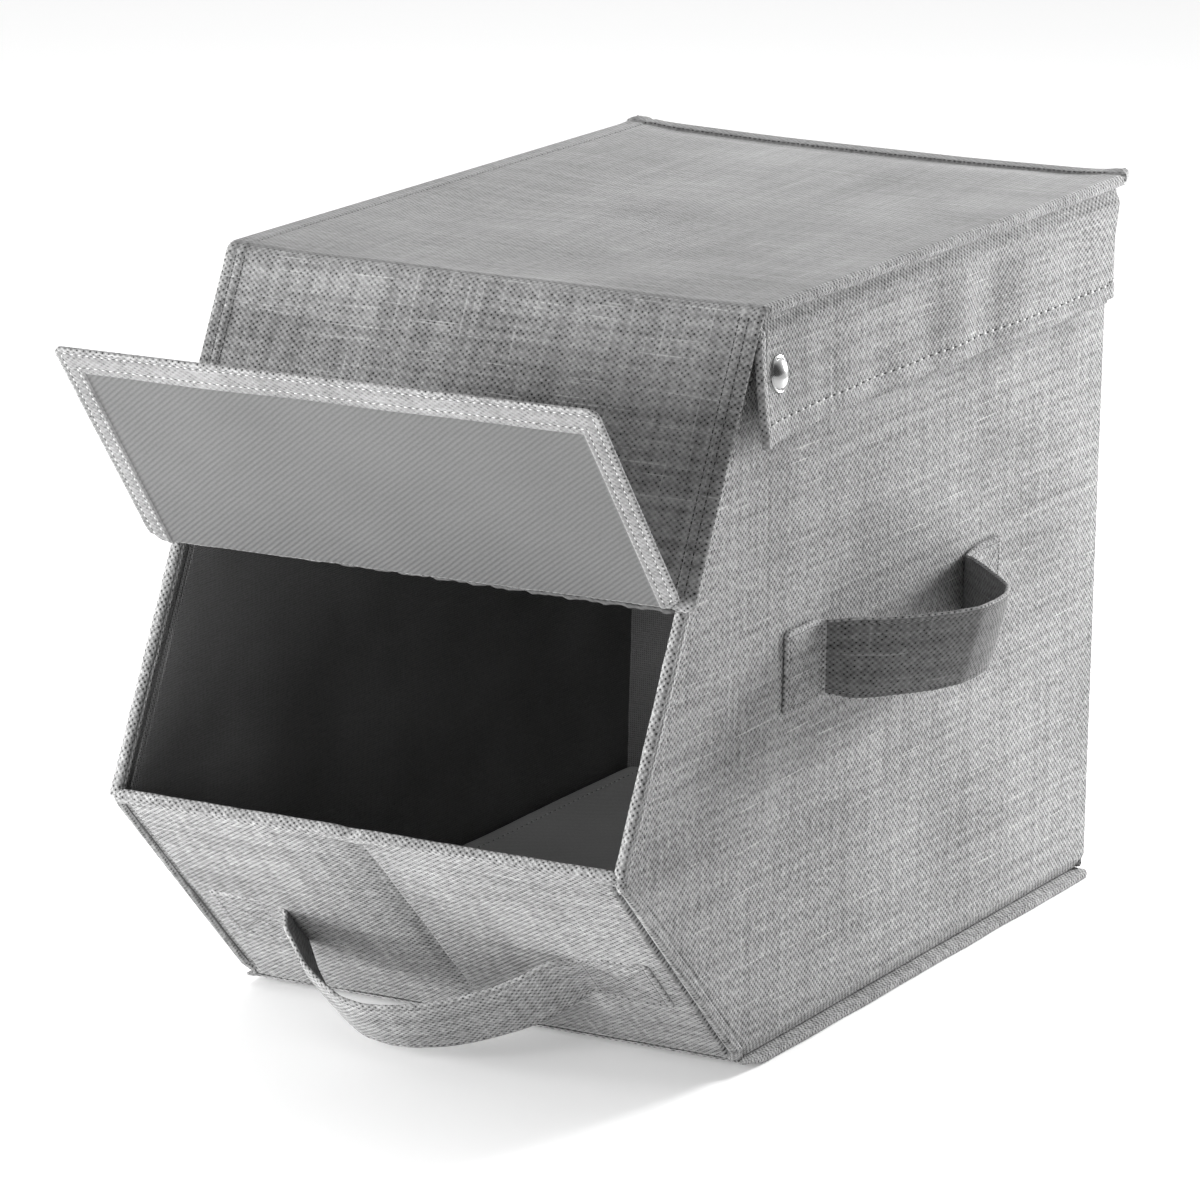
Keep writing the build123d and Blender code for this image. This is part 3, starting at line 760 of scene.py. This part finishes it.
def floor_insert():
    low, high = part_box("insert_under_cloth")[0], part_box("insert_top_cloth")[1]
    thick = high.z - low.z
    inset = thick / 2

    def place(x, y):
        edge = np.minimum(high.x - np.abs(x), np.minimum(y - low.y, high.y - y))
        h = groove(edge, 9 * MM, 1.2 * MM, 0.5 * MM) + 0.5 * MM * (1 - smooth(edge, 8 * MM, 10 * MM))
        rise = 9.0 * MM * smooth(-x, -0.3 * high.x, high.x) + 0.4 * MM * ripple(x, y, 33, 120 * MM)
        return np.stack([x, y, high.z + h + rise], -1)

    panel = Panel(stations(low.x + inset, high.x - inset, 5 * MM, (8 * MM, 9 * MM, 10 * MM)),
                  stations(low.y + inset, high.y - inset, 5 * MM, (8 * MM, 9 * MM, 10 * MM)),
                  place, thick, corner=(4 * MM, 4 * MM))
    # floor insert in the paler twill copy: painted light
    obj = pad("floor_board_cloth", panel, [FLOOR_TWILL_LIT])
    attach(obj, "floor_insert")
    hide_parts("insert_board", "insert_top_cloth", "insert_under_cloth")
    a0, a1, b0, b1 = panel.a[0] + 6 * MM, panel.a[-1] - 6 * MM, panel.b[0] + 6 * MM, panel.b[-1] - 6 * MM
    seams = [panel.line((a0, b0), (a1, b0)), panel.line((a1, b0), (a1, b1)),
             panel.line((a1, b1), (a0, b1)), panel.line((a0, b1), (a0, b0))]
    sewn = stitches("floor_board_seam", seams, 4.5 * MM)
    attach(sewn, "floor_insert")


# ------------------------------------------------------------------ lid and flap
def lid():
    corner_radius = 8 * MM
    front_thick = WALL
    top_thick = LID_TOP - LID_UNDER
    line, lengths = route([LID_START, LID_CORNER, (LID_BACK, LID_TOP)], [corner_radius])
    bend = float(np.linalg.norm(LID_CORNER - LID_START))
    half = LID_X - top_thick / 2 + 1.3 * MM

    def thick(x, s):
        return front_thick + (top_thick - front_thick) * smooth(s, bend - 12 * MM, bend + 12 * MM)

    def place(x, s):
        side = LID_X - np.abs(x)
        back = lengths[-1] - s
        hem = 0.45 * MM * (1 - smooth(side, 9.6 * MM, 11.0 * MM))
        hem = np.maximum(hem, 0.9 * MM * (1 - smooth(back, 9.6 * MM, 11.0 * MM)))
        on_top = smooth(s, bend - 5 * MM, bend + 10 * MM)
        line_share = np.where(x > 0, 1 - on_top, 1.0)
        h = hem + groove(side, 9.5 * MM, depth=0.55 * MM) * line_share + groove(back, 10.4 * MM, depth=0.6 * MM)
        h = h + groove(side, 5.3 * MM, depth=0.5 * MM) * (1 - 0.7 * on_top)
        inside = smooth(np.minimum(side, back), 0, 40 * MM)
        h = h + 0.8 * MM * ripple(x, s, 41, 130 * MM) * inside * (0.4 + 0.6 * on_top)
        h = h - 1.2 * MM * on_top * smooth(side, 0, 90 * MM)
        dip = 1.3 * MM * np.exp(-((back - 14 * MM) / (9 * MM)) ** 2)
        h = h - dip * smooth(side, 8 * MM, 30 * MM)
        h = h + 2.2 * MM * np.exp(-(np.hypot(side, back) / (9 * MM)) ** 2)
        spot, normal = along(line, lengths, s)
        return from_yz(x, spot + normal * h[..., None])

    marks = (4.4 * MM, 5.3 * MM, 6.2 * MM, 8.6 * MM, 9.5 * MM, 10.4 * MM, 11.2 * MM)
    marks = tuple(m - top_thick / 2 for m in marks)
    a = stations(-half, half, 5 * MM, marks)
    b = np.unique(np.concatenate([stations(0.8 * MM, lengths[-1] - top_thick / 2, 5 * MM, marks),
                                  np.linspace(bend - 10 * MM, bend + 10 * MM, 15)]))
    b = b[np.concatenate([[True], np.diff(b) > 0.3 * MM])]
    panel = Panel(a, b, place, thick, corner=(2.5 * MM, 7 * MM))
    # the top faces take the shaded top linen (painted shade), the sloping front takes the lid linen
    def skin(panel):
        return np.where((panel.uv[:-1, :-1, 1] + panel.uv[1:, 1:, 1]) / 2 > bend, 2, 3)

    obj = pad("lid_cloth", panel, [LINEN, BLACK_LIT, TOP_LINEN_SHADED, LID_LINEN], back_skin=1, face_skin=skin)
    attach(obj, "lid")
    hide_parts("lid_top_cover", "lid_top_board", "lid_top_lining", "lid_edge_welt",
                "lid_front_cover", "lid_front_board", "lid_front_lining", "lid_front_hems")
    end = panel.b[-1] - 9.5 * MM + top_thick / 2
    front, top = [], []
    for sign in (-1, 1):
        for inset in (5.3 * MM, 9.5 * MM):
            x = sign * (LID_X - inset)
            front.append(panel.line((x, 4 * MM), (x, bend - 6 * MM)))
    x = LID_X - 9.5 * MM
    top.append(panel.line((-x, bend + 6 * MM), (-x, end)))
    top.append(panel.line((-x, end), (x, end)))
    # lid seams in the shaded thread: painted shade
    sewn = stitches("lid_front_seams", front, 3.2 * MM, share=0.35, slot=0.6, yarn=SHADED_THREAD)
    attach(sewn, "lid")
    sewn = stitches("lid_top_seams", top, 5.0 * MM, radius=0.28 * MM, yarn=SHADED_THREAD)
    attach(sewn, "lid")


def flap():
    thick = WALL
    half = LID_X - thick / 2
    side_border, free_border = 10.5 * MM, 15 * MM

    def place(x, r):
        side = LID_X - np.abs(x)
        free = FLAP_LENGTH - r
        border = np.maximum(1 - smooth(side, side_border - 0.4 * MM, side_border + 0.9 * MM),
                            1 - smooth(free, free_border - 0.4 * MM, free_border + 0.9 * MM))
        h = 0.55 * MM * border
        for inset, stop in ((3.4 * MM, 3.4 * MM), (8.2 * MM, 11.5 * MM)):
            h = h + groove(side, inset) * (free > stop) + groove(free, stop) * (side > inset)
        h = h + 0.35 * MM * np.exp(-((side - 9.4 * MM) / (0.8 * MM)) ** 2) * (free > 11 * MM)
        inner = smooth(np.minimum(side, np.minimum(free, r + 10 * MM)), 0, 30 * MM)
        h = h + 0.45 * MM * ripple(x, r, 52, 90 * MM) * inner
        near_fold = 1 - smooth(r, 0, 7 * MM)
        wavy = near_fold * 0.35 * MM * ripple(x, 0 * x, 57, 26 * MM)
        skew = 1.6 * MM + 2.4 * MM * x / LID_X
        rise = np.multiply.outer(r + skew - wavy * 0.5, FLAP_UP)
        spot = FOLD + rise + np.multiply.outer(thick + h + wavy * 0.6, FLAP_FACE)
        return from_yz(x, spot)

    # the border faces take the shaded border linen (painted shade), the middle takes the twill lining
    def skin(panel):
        a = (panel.uv[:-1, :-1, 0] + panel.uv[1:, 1:, 0]) / 2
        b = (panel.uv[:-1, :-1, 1] + panel.uv[1:, 1:, 1]) / 2
        return np.where(((LID_X - np.abs(a)) > side_border) & ((FLAP_LENGTH - b) > free_border), 1, 2)

    marks = (2.6 * MM, 3.4 * MM, 4.2 * MM, 7.4 * MM, 8.2 * MM, 9.0 * MM, 10.1 * MM, 10.8 * MM, 11.5 * MM,
             12.3 * MM, 14.6 * MM, 15.2 * MM, 16 * MM)
    marks = tuple(m - thick / 2 for m in marks)
    panel = Panel(stations(-half, half, 4 * MM, marks),
                  stations(1.2 * MM + thick / 2, FLAP_LENGTH - thick / 2, 4 * MM, marks),
                  place, thick - 1.1 * MM, corner=(8 * MM, 3 * MM))
    obj = pad("flap_cloth", panel, [LINEN, TWILL, BORDER_LINEN_SHADED], back_skin=0, face_skin=skin)
    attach(obj, "flap")
    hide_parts("flap_cover", "flap_board", "flap_lining", "flap_border")
    seams = []
    for inset, stop in ((3.4 * MM, 3.4 * MM), (8.2 * MM, 11.5 * MM)):
        x, top = LID_X - inset, FLAP_LENGTH - stop
        seams += [panel.line((-x, 5 * MM), (-x, top)), panel.line((-x, top), (x, top)),
                  panel.line((x, top), (x, 5 * MM))]
    sewn = stitches("flap_seams", seams, 3.6 * MM, share=0.4, slot=0.45, radius=0.3 * MM)
    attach(sewn, "flap")


def fold_roll():
    """The pinched cloth along the line that the flap turns on, coloured dark grey: painted shade standing in for
    the shadow along the fold.
    """
    xs = np.linspace(-LID_X + 8 * MM, LID_X - 8 * MM, 150)
    sides = 10
    verts, uvs_grid = [], []
    for x in xs:
        wobble = 0.3 * MM * math.sin(x * 420) + 0.2 * MM * math.sin(x * 1130 + 1)
        radius = 0.9 * MM + 0.2 * MM * math.sin(x * 730)
        for m in range(sides):
            angle = math.tau * m / sides
            y = FOLD[0] + radius * math.cos(angle)
            z = FOLD[1] + wobble + radius * math.sin(angle)
            verts.append((x, y, z))
            uvs_grid.append((x, m * 0.7 * MM))
    faces, uvs = [], []
    for k in range(len(xs) - 1):
        for m in range(sides):
            ring = [k * sides + m, k * sides + (m + 1) % sides,
                    (k + 1) * sides + (m + 1) % sides, (k + 1) * sides + m]
            faces.append(ring)
            uvs += [uvs_grid[i] for i in ring]
    for cap in (list(range(sides)), list(range((len(xs) - 1) * sides, len(xs) * sides))):
        faces.append(cap)
        uvs += [uvs_grid[i] for i in cap]
    obj = make_object("flap_fold_roll", verts, faces, uvs, [0] * len(faces), [FOLD_ROLL_SHADED])
    fix_normals(obj)
    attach(obj, "lid")
    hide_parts("flap_fold")


# ------------------------------------------------------------------ skirts and press studs
def side_skirt(sign):
    word = "right" if sign > 0 else "left"
    low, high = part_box(f"{word}_skirt_outer")
    top, bottom = LID_UNDER - 0.4 * MM, low.z
    front, rear = low.y - 4.5 * MM, high.y
    outer_x = max(abs(low.x), abs(high.x))
    base_thick = 2.2 * MM
    inset = base_thick / 2

    def thick(y, z):
        return base_thick + 1.3 * MM * (1 - smooth(y, front + 6 * MM, front + 12 * MM))

    def place(y, z):
        down = (top - z) / (top - bottom)
        ahead = 1 - smooth(y, front, front + 120 * MM)
        flare = 6.0 * MM * ahead ** 2 * down ** 1.3
        hem = 0.5 * MM * (1 - smooth(z - bottom, 7.6 * MM, 9.4 * MM)) + groove(z - bottom, 8.2 * MM)
        end_hem = 1.0 * MM * (1 - smooth(y - front, 5 * MM, 6 * MM)) + groove(y - front, 6.4 * MM, depth=0.9 * MM)
        dents = 1.5 * MM * ripple(y, z * 0.4, 61 if sign > 0 else 66, 75 * MM) * smooth(down, 0, 0.5)
        dents = dents * smooth(rear - y, 0, 40 * MM)
        lean = 6 * MM * (1 - down) * (1 - smooth(y, front, front + 60 * MM))
        tuck = 2.8 * MM * (1 - smooth(top - z, 0.5 * MM, 6.5 * MM))
        h = flare + hem + end_hem + dents - tuck - 0.6 * MM
        slant = 13 * MM * (1 - down) * smooth(y, rear - 50 * MM, rear)
        return np.stack([outer_x + h, y + lean + slant, z], -1)

    marks = tuple(m - inset for m in (5 * MM, 6 * MM, 7 * MM, 8.2 * MM, 9.4 * MM))
    panel = Panel(stations(front + inset, rear, 4 * MM, marks), stations(bottom + inset, top, 3 * MM, marks),
                  place, thick)
    middle = (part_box(f"{word}_snap_cap")[0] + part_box(f"{word}_snap_cap")[1]) / 2
    seat = panel.trace(np.array([middle.y]), np.array([middle.z]))
    seam = panel.line((front + 3 * MM, bottom + 8.2 * MM), (rear - 1 * MM, bottom + 8.2 * MM))
    if sign < 0:
        seam = tuple(part * np.array([-1, 1, 1]) for part in seam)
        panel.mirror()
    obj = pad(f"{word}_skirt_cloth", panel, [LINEN])
    sewn = stitches(f"{word}_skirt_seam", [seam], 7.3 * MM, slot=0.42, radius=0.6 * MM)
    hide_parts(f"{word}_skirt_outer", f"{word}_skirt_facing")
    start, end = (0, rear - 5 * MM, top), (0, front + 70 * MM, top)
    for piece in (obj, sewn):
        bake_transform(piece)
        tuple(start)
        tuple(end)
    press_stud(sign, word, seat[0][0], seat[1][0])


def back_skirt():
    low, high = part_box("back_skirt")
    top, bottom = LID_UNDER - 0.3 * MM, low.z
    start = low.y
    side, back = high.x - 2.8 * MM, high.y - 1.8 * MM
    line, lengths = route([(side, start), (side, back), (-side, back), (-side, start)], [9 * MM, 9 * MM])
    thick = 2.2 * MM

    def place(s, z):
        spot, normal = along(line, lengths, s)
        down = (top - z) / (top - bottom)
        hem = 0.5 * MM * (1 - smooth(z - bottom, 7.6 * MM, 9.4 * MM)) + groove(z - bottom, 8.2 * MM)
        inner = smooth(np.minimum(s, lengths[-1] - s), 0, 60 * MM)
        h = hem - 0.6 * MM + 1.2 * MM * ripple(s, z * 0.4, 71, 90 * MM) * inner * smooth(down, 0, 0.5)
        spot = spot - normal * h[..., None]
        return np.stack([spot[..., 0], spot[..., 1], z], -1)

    bend = high.y - start
    s_lines = np.unique(np.concatenate([stations(0, lengths[-1], 4 * MM),
                                        np.linspace(bend - 8 * MM, bend + 6 * MM, 12),
                                        lengths[-1] - np.linspace(bend - 8 * MM, bend + 6 * MM, 12)]))
    s_lines = s_lines[np.concatenate([[True], np.diff(s_lines) > 0.3 * MM])]
    marks = tuple(m - thick / 2 for m in (7 * MM, 8.2 * MM, 9.4 * MM))
    panel = Panel(s_lines, stations(bottom + thick / 2, top, 3 * MM, marks), place, thick)
    obj = pad("back_skirt_cloth", panel, [LINEN])
    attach(obj, "lid")
    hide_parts("back_skirt")
    z = bottom + 8.2 * MM
    sewn = stitches("back_skirt_seam", [panel.line((1 * MM, z), (lengths[-1] - 1 * MM, z))], 7.3 * MM,
                    slot=0.42, radius=0.6 * MM)
    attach(sewn, "lid")


def turned(name, profile, centre, axis, material, sides=48):
    """A round piece: profile is (height along the axis, radius) pairs."""
    axis = unit(np.array(axis, float))
    across = unit(np.cross(axis, [0, 0.3, 1]))
    up = np.cross(axis, across)
    verts, faces = [], []
    for height, radius in profile:
        for m in range(sides):
            angle = math.tau * m / sides
            verts.append(np.array(centre) + axis * height
                         + (across * math.cos(angle) + up * math.sin(angle)) * radius)
    for r in range(len(profile) - 1):
        for m in range(sides):
            a, b = r * sides + m, r * sides + (m + 1) % sides
            faces.append((a, b, b + sides, a + sides))
    faces.append(tuple(range(sides)))
    faces.append(tuple((len(profile) - 1) * sides + m for m in range(sides)))
    uvs = np.zeros((sum(len(f) for f in faces), 2))
    obj = make_object(name, verts, faces, uvs, [0] * len(faces), [material])
    fix_normals(obj)
    return obj


def press_stud(sign, word, seat, normal):
    """The domed cap on the outside of a side skirt, seated on the cloth."""
    radius = 8.0 * MM
    profile = [(-1.2 * MM, radius * 0.9), (-0.2 * MM, radius), (0.5 * MM, radius), (0.9 * MM, radius * 0.97),
               (1.0 * MM, radius * 0.93), (0.5 * MM, radius * 0.87), (0.4 * MM, radius * 0.84)]
    for k in range(1, 9):
        angle = math.pi / 2 * k / 9
        profile.append((0.4 * MM + 2.9 * MM * math.sin(angle), radius * 0.84 * math.cos(angle)))
    if sign < 0:
        seat, normal = seat * np.array([-1, 1, 1]), normal * np.array([-1, 1, 1])
    cap = turned(f"{word}_snap_dome", profile, seat, normal, CHROME)
    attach(cap, f"{word}_skirt")
    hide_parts(f"{word}_snap_cap")


def hidden_studs():
    for node in ("snap_studs", "snap_eyelets", "right_snap_socket", "left_snap_socket"):
        mesh = frame["nodes"][node].data
        mesh.materials.clear()
        mesh.materials.append(CHROME)


# ------------------------------------------------------------------ handles
SIDE_LOOP = [(-67, 13), (-59, 24), (-46, 34), (-34, 42), (-20, 47), (-5, 47.5), (9, 46), (23, 41), (36, 31),
             (50, 19.5), (63, 8)]
FRONT_LOOP = [(-63, 13), (-50, 27), (-38, 35), (-27, 40.5), (-14, 42), (-2, 40.8), (11, 37.8), (22, 34), (33, 29),
              (44, 23), (54, 15.5), (61, 8)]


def soft_line(points, count, passes):
    """Even points along a polyline, with its corners eased."""
    points = np.array(points, float)
    lengths = np.concatenate([[0], np.cumsum(np.linalg.norm(np.diff(points, axis=0), axis=1))])
    even = np.linspace(0, lengths[-1], count)
    line = np.stack([np.interp(even, lengths, points[:, k]) for k in range(points.shape[1])], 1)
    for _ in range(passes):
        line[1:-1] = (line[:-2] + 2 * line[1:-1] + line[2:]) / 4
    return line


def strap(name, origin, p_dir, h_dir, w_dir, loop, cant, pinch_in, cloth, nodes, mirror=False):
    """A webbing strap sewn down at both ends: loop is its path in mm along and away from the wall."""
    inner, outer = 69 * MM, 105 * MM
    width, thick, flat = 36 * MM, 1.9 * MM, 1.9 * MM
    corners = [(-outer, flat), (-inner - 1 * MM, flat)] + [(p * MM, h * MM) for p, h in loop]
    line = soft_line(corners + [(inner + 1 * MM, flat), (outer, flat)], 260, 10)
    lengths = np.concatenate([[0], np.cumsum(np.linalg.norm(np.diff(line, axis=0), axis=1))])
    total = lengths[-1]
    half = width / 2 - thick / 2
    reach = outer - inner

    def place(s, w):
        spot, normal = along(line, lengths, s)
        side = width / 2 - np.abs(w)
        away = smooth(np.minimum(s, total - s), reach, reach + 30 * MM)
        pinch = 1 - pinch_in * np.exp(-((np.minimum(s, total - s) - reach) / (7 * MM)) ** 2)
        h = groove(side, 2.8 * MM, 0.6 * MM, 0.30 * MM) + 0.3 * MM * ripple(s, w, 81, 40 * MM)
        h = h - 0.8 * MM * away * (w / half) ** 2
        spot = spot + normal * h[..., None]
        height = spot[..., 1:] * (1 + cant * w / half * away)[..., None]
        return np.array(origin) + spot[..., :1] * p_dir + height * h_dir + (w * pinch)[..., None] * w_dir

    # tabs take the wall linen; loop faces take the cloth argument, which is the shaded strap linen on the side
    # handles (painted shade); the back face takes the shaded strap linen, painting shade on the loops' inner
    # faces
    def skin(panel):
        s = (panel.uv[:-1, :-1, 0] + panel.uv[1:, 1:, 0]) / 2
        s = np.abs(s)
        return np.where((s > reach) & (s < total - reach), 2, 0)

    marks = tuple(m - thick / 2 for m in (2.1 * MM, 2.8 * MM, 3.5 * MM))
    panel = Panel(stations(thick / 2, total - thick / 2, 2.0 * MM), stations(-half, half, 4 * MM, marks),
                  place, thick, corner=(1.5 * MM, 1.5 * MM))
    edge = width / 2 - 2.8 * MM
    near = 3.0 * MM
    seams = [panel.line((near, sign * edge), (total - near, sign * edge)) for sign in (-1, 1)]
    for start in (near, total - reach + near):
        end = start + reach - 2 * near
        seams += [panel.line((start, -edge), (start, edge)), panel.line((end, -edge), (end, edge)),
                  panel.line((start, -edge), (end, edge)), panel.line((start, edge), (end, -edge))]
    if mirror:
        flip = np.array([-1, 1, 1])
        seams = [tuple(part * flip for part in seam) for seam in seams]
        panel.mirror()
    obj = pad(name, panel, [LINEN, STRAP_LINEN_SHADED, cloth], back_skin=1, face_skin=skin)
    # strap seams in the shaded thread: painted shade
    sewn = stitches(f"{name}_seams", seams, 3.0 * MM, slot=0.4, radius=0.26 * MM, yarn=SHADED_THREAD)
    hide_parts(*nodes)
    h_axis = h_dir * (np.array([-1, 1, 1]) if mirror else 1)
    base = np.array(origin) * (np.array([-1, 1, 1]) if mirror else 1)
    start, end = base + h_axis * 2.5 * MM, base + h_axis * 26 * MM
    for piece in (obj, sewn):
        tuple(start)
        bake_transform(piece)


def handles():
    low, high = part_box("right_handle_tabs")
    origin = (WALL_X, (low.y + high.y) / 2, (low.z + high.z) / 2)
    for mirror, word in ((False, "right"), (True, "left")):
        # side loops in the shaded strap linen: painted shade
        strap(f"{word}_handle_cloth", origin, np.array([0, 1.0, 0]), np.array([1.0, 0, 0]),
              np.array([0, 0, 1.0]), SIDE_LOOP, 0.10, 0.10, STRAP_LINEN_SHADED,
              [f"{word}_handle_strap", f"{word}_handle_tabs"], mirror)
    low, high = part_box("front_handle_tabs")
    middle = (yz(low) + yz(high)) / 2
    spot = FOOT + FRONT_UP * ((middle - FOOT) @ FRONT_UP)
    strap("front_handle_cloth", (0, *spot), np.array([1.0, 0, 0]), np.array([0, *FRONT_OUT]),
          np.array([0, *FRONT_UP]), FRONT_LOOP, 0.0, 0.26, LINEN,
          ["front_handle_strap", "front_handle_tabs"])


def lip_knots():
    """The bulky bound corner where the lip meets the mouth's sloping right edge."""
    for sign, word in ((1, "right"),):
        rows, ring = 14, 20
        verts, uvs_grid = [], []
        centre = np.array([sign * (WALL_X - 1.2 * MM), *(LIP + FRONT_UP * -4.6 * MM)])
        for r in range(rows):
            polar = math.pi * (r + 0.5) / rows
            for m in range(ring):
                angle = math.tau * m / ring
                out = np.array([math.sin(polar) * math.cos(angle), math.sin(polar) * math.sin(angle),
                                math.cos(polar)])
                lump = 1 + 0.10 * float(ripple(np.array(angle * 1.0), np.array(polar * 1.0), 91, 1.6))
                verts.append(centre + out * lump * np.array([2.4, 2.4, 3.6]) * MM)
                uvs_grid.append((angle * 3.4 * MM, polar * 3.4 * MM))
        faces = []
        for r in range(rows - 1):
            for m in range(ring):
                a, b = r * ring + m, r * ring + (m + 1) % ring
                faces.append([a, b, b + ring, a + ring])
        faces += [list(range(ring)), list(range((rows - 1) * ring, rows * ring))]
        uvs = [uvs_grid[i] for face in faces for i in face]
        obj = make_object(f"{word}_lip_knot", verts, faces, uvs, [0] * len(faces), [LINEN])
        fix_normals(obj)
        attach(obj, "tub")


# ------------------------------------------------------------------ stage, light, camera
def stage():
    floor_size = 6.0
    mesh = bpy.data.meshes.new("floor")
    corners = [(-floor_size, -floor_size, 0), (floor_size, -floor_size, 0),
               (floor_size, floor_size, 0), (-floor_size, floor_size, 0)]
    mesh.from_pydata(corners, [], [(0, 1, 2, 3)])
    floor = bpy.data.objects.new("floor", mesh)
    bpy.context.scene.collection.objects.link(floor)
    n = Nodes("floor_white_glowing")
    place = n.tree.nodes.new("ShaderNodeTexCoord")
    reach = n.tree.nodes.new("ShaderNodeVectorMath")
    reach.operation = "LENGTH"
    n.tree.links.new(place.outputs["Object"], reach.inputs[0])
    away = n.step(reach.outputs["Value"], 0.7, 3.0)
    n.tree.links.new(n.ramp(away, grey(0.80), grey(0.97)), n.shader.inputs["Base Color"])
    n.shader.inputs["Roughness"].default_value = 0.9
    # painted glow: the floor emits light though it is no lamp, lifting the bin's contact shadow and lighting the
    # bin from below
    n.shader.inputs["Emission Color"].default_value = (1, 1, 1, 1)
    n.shader.inputs["Emission Strength"].default_value = 0.20
    mesh.materials.append(n.material)


def area_light(name, place, target, size, power):
    light = bpy.data.lights.new(name, "AREA")
    light.shape = "SQUARE"
    light.size = size
    light.energy = power
    obj = bpy.data.objects.new(name, light)
    obj.location = place
    obj.rotation_euler = (Vector(target) - Vector(place)).to_track_quat("-Z", "Y").to_euler()
    bpy.context.scene.collection.objects.link(obj)


def sky():
    """An even studio surround, brightest behind and to the left, dim on the camera's side."""
    world = bpy.data.worlds.new("studio")
    world.use_nodes = True
    tree = world.node_tree
    place = tree.nodes.new("ShaderNodeTexCoord")
    facing = tree.nodes.new("ShaderNodeVectorMath")
    facing.operation = "DOT_PRODUCT"
    facing.inputs[1].default_value = Vector((-0.45, 0.80, 0.40)).normalized()
    level = tree.nodes.new("ShaderNodeMapRange")
    level.interpolation_type = "SMOOTHSTEP"
    for socket, value in zip(list(level.inputs)[1:5], (-0.1, 0.95, SKY_DIM, SKY_BRIGHT)):
        socket.default_value = value
    tree.nodes["Background"].inputs["Color"].default_value = (1, 1, 1, 1)
    tree.links.new(place.outputs["Generated"], facing.inputs[0])
    tree.links.new(facing.outputs["Value"], level.inputs[0])
    tree.links.new(level.outputs[0], tree.nodes["Background"].inputs["Strength"])
    bpy.context.scene.world = world
    bpy.context.scene.view_settings.view_transform = "Standard"


SKY_DIM = 0.12
SKY_BRIGHT = 1.45


def lighting():
    sky()
    area_light("rear_right", (0.42, 1.10, 0.42), (0.10, 0.0, 0.16), 0.35, 28)
    area_light("mouth", (0.0, -0.95, 0.30), (0, -0.10, 0.08), 0.28, 4.0)
    area_light("front_left", (-0.85, -0.85, 0.32), (0, -0.20, 0.20), 0.4, 5)
    area_light("front_low", (-1.0, -0.70, 0.10), (0, -0.25, 0.08), 0.4, 17)
    area_light("overhead", (-0.3, 1.1, 1.7), (0, 0.1, 0.2), 1.4, 24)


def camera():
    azimuth, pitch, roll = math.radians(27.98), math.radians(13.86), math.radians(1.13)
    back = Vector((math.sin(azimuth) * math.cos(pitch), -math.cos(azimuth) * math.cos(pitch), math.sin(pitch)))
    right = (-back).cross(Vector((0, 0, 1))).normalized()
    up = right.cross(-back)
    rolled_right = right * math.cos(roll) + up * math.sin(roll)
    rolled_up = -right * math.sin(roll) + up * math.cos(roll)
    data = bpy.data.cameras.new("camera")
    data.sensor_width = 36.0
    data.lens = 201.95
    data.clip_end = 20.0
    obj = bpy.data.objects.new("camera", data)
    turn = Matrix((rolled_right, rolled_up, back)).transposed().to_4x4()
    obj.matrix_world = Matrix.Translation((1.3185, -2.5640, 0.8618)) @ turn
    bpy.context.scene.collection.objects.link(obj)
    bpy.context.scene.camera = obj


for sign in (1, -1):
    side_wall(sign)
front_wall()
back_wall()
bindings()
lip_knots()
base()
floor_insert()
lid()
flap()
fold_roll()
for sign in (1, -1):
    side_skirt(sign)
back_skirt()
hidden_studs()
handles()
stage()
lighting()
camera()
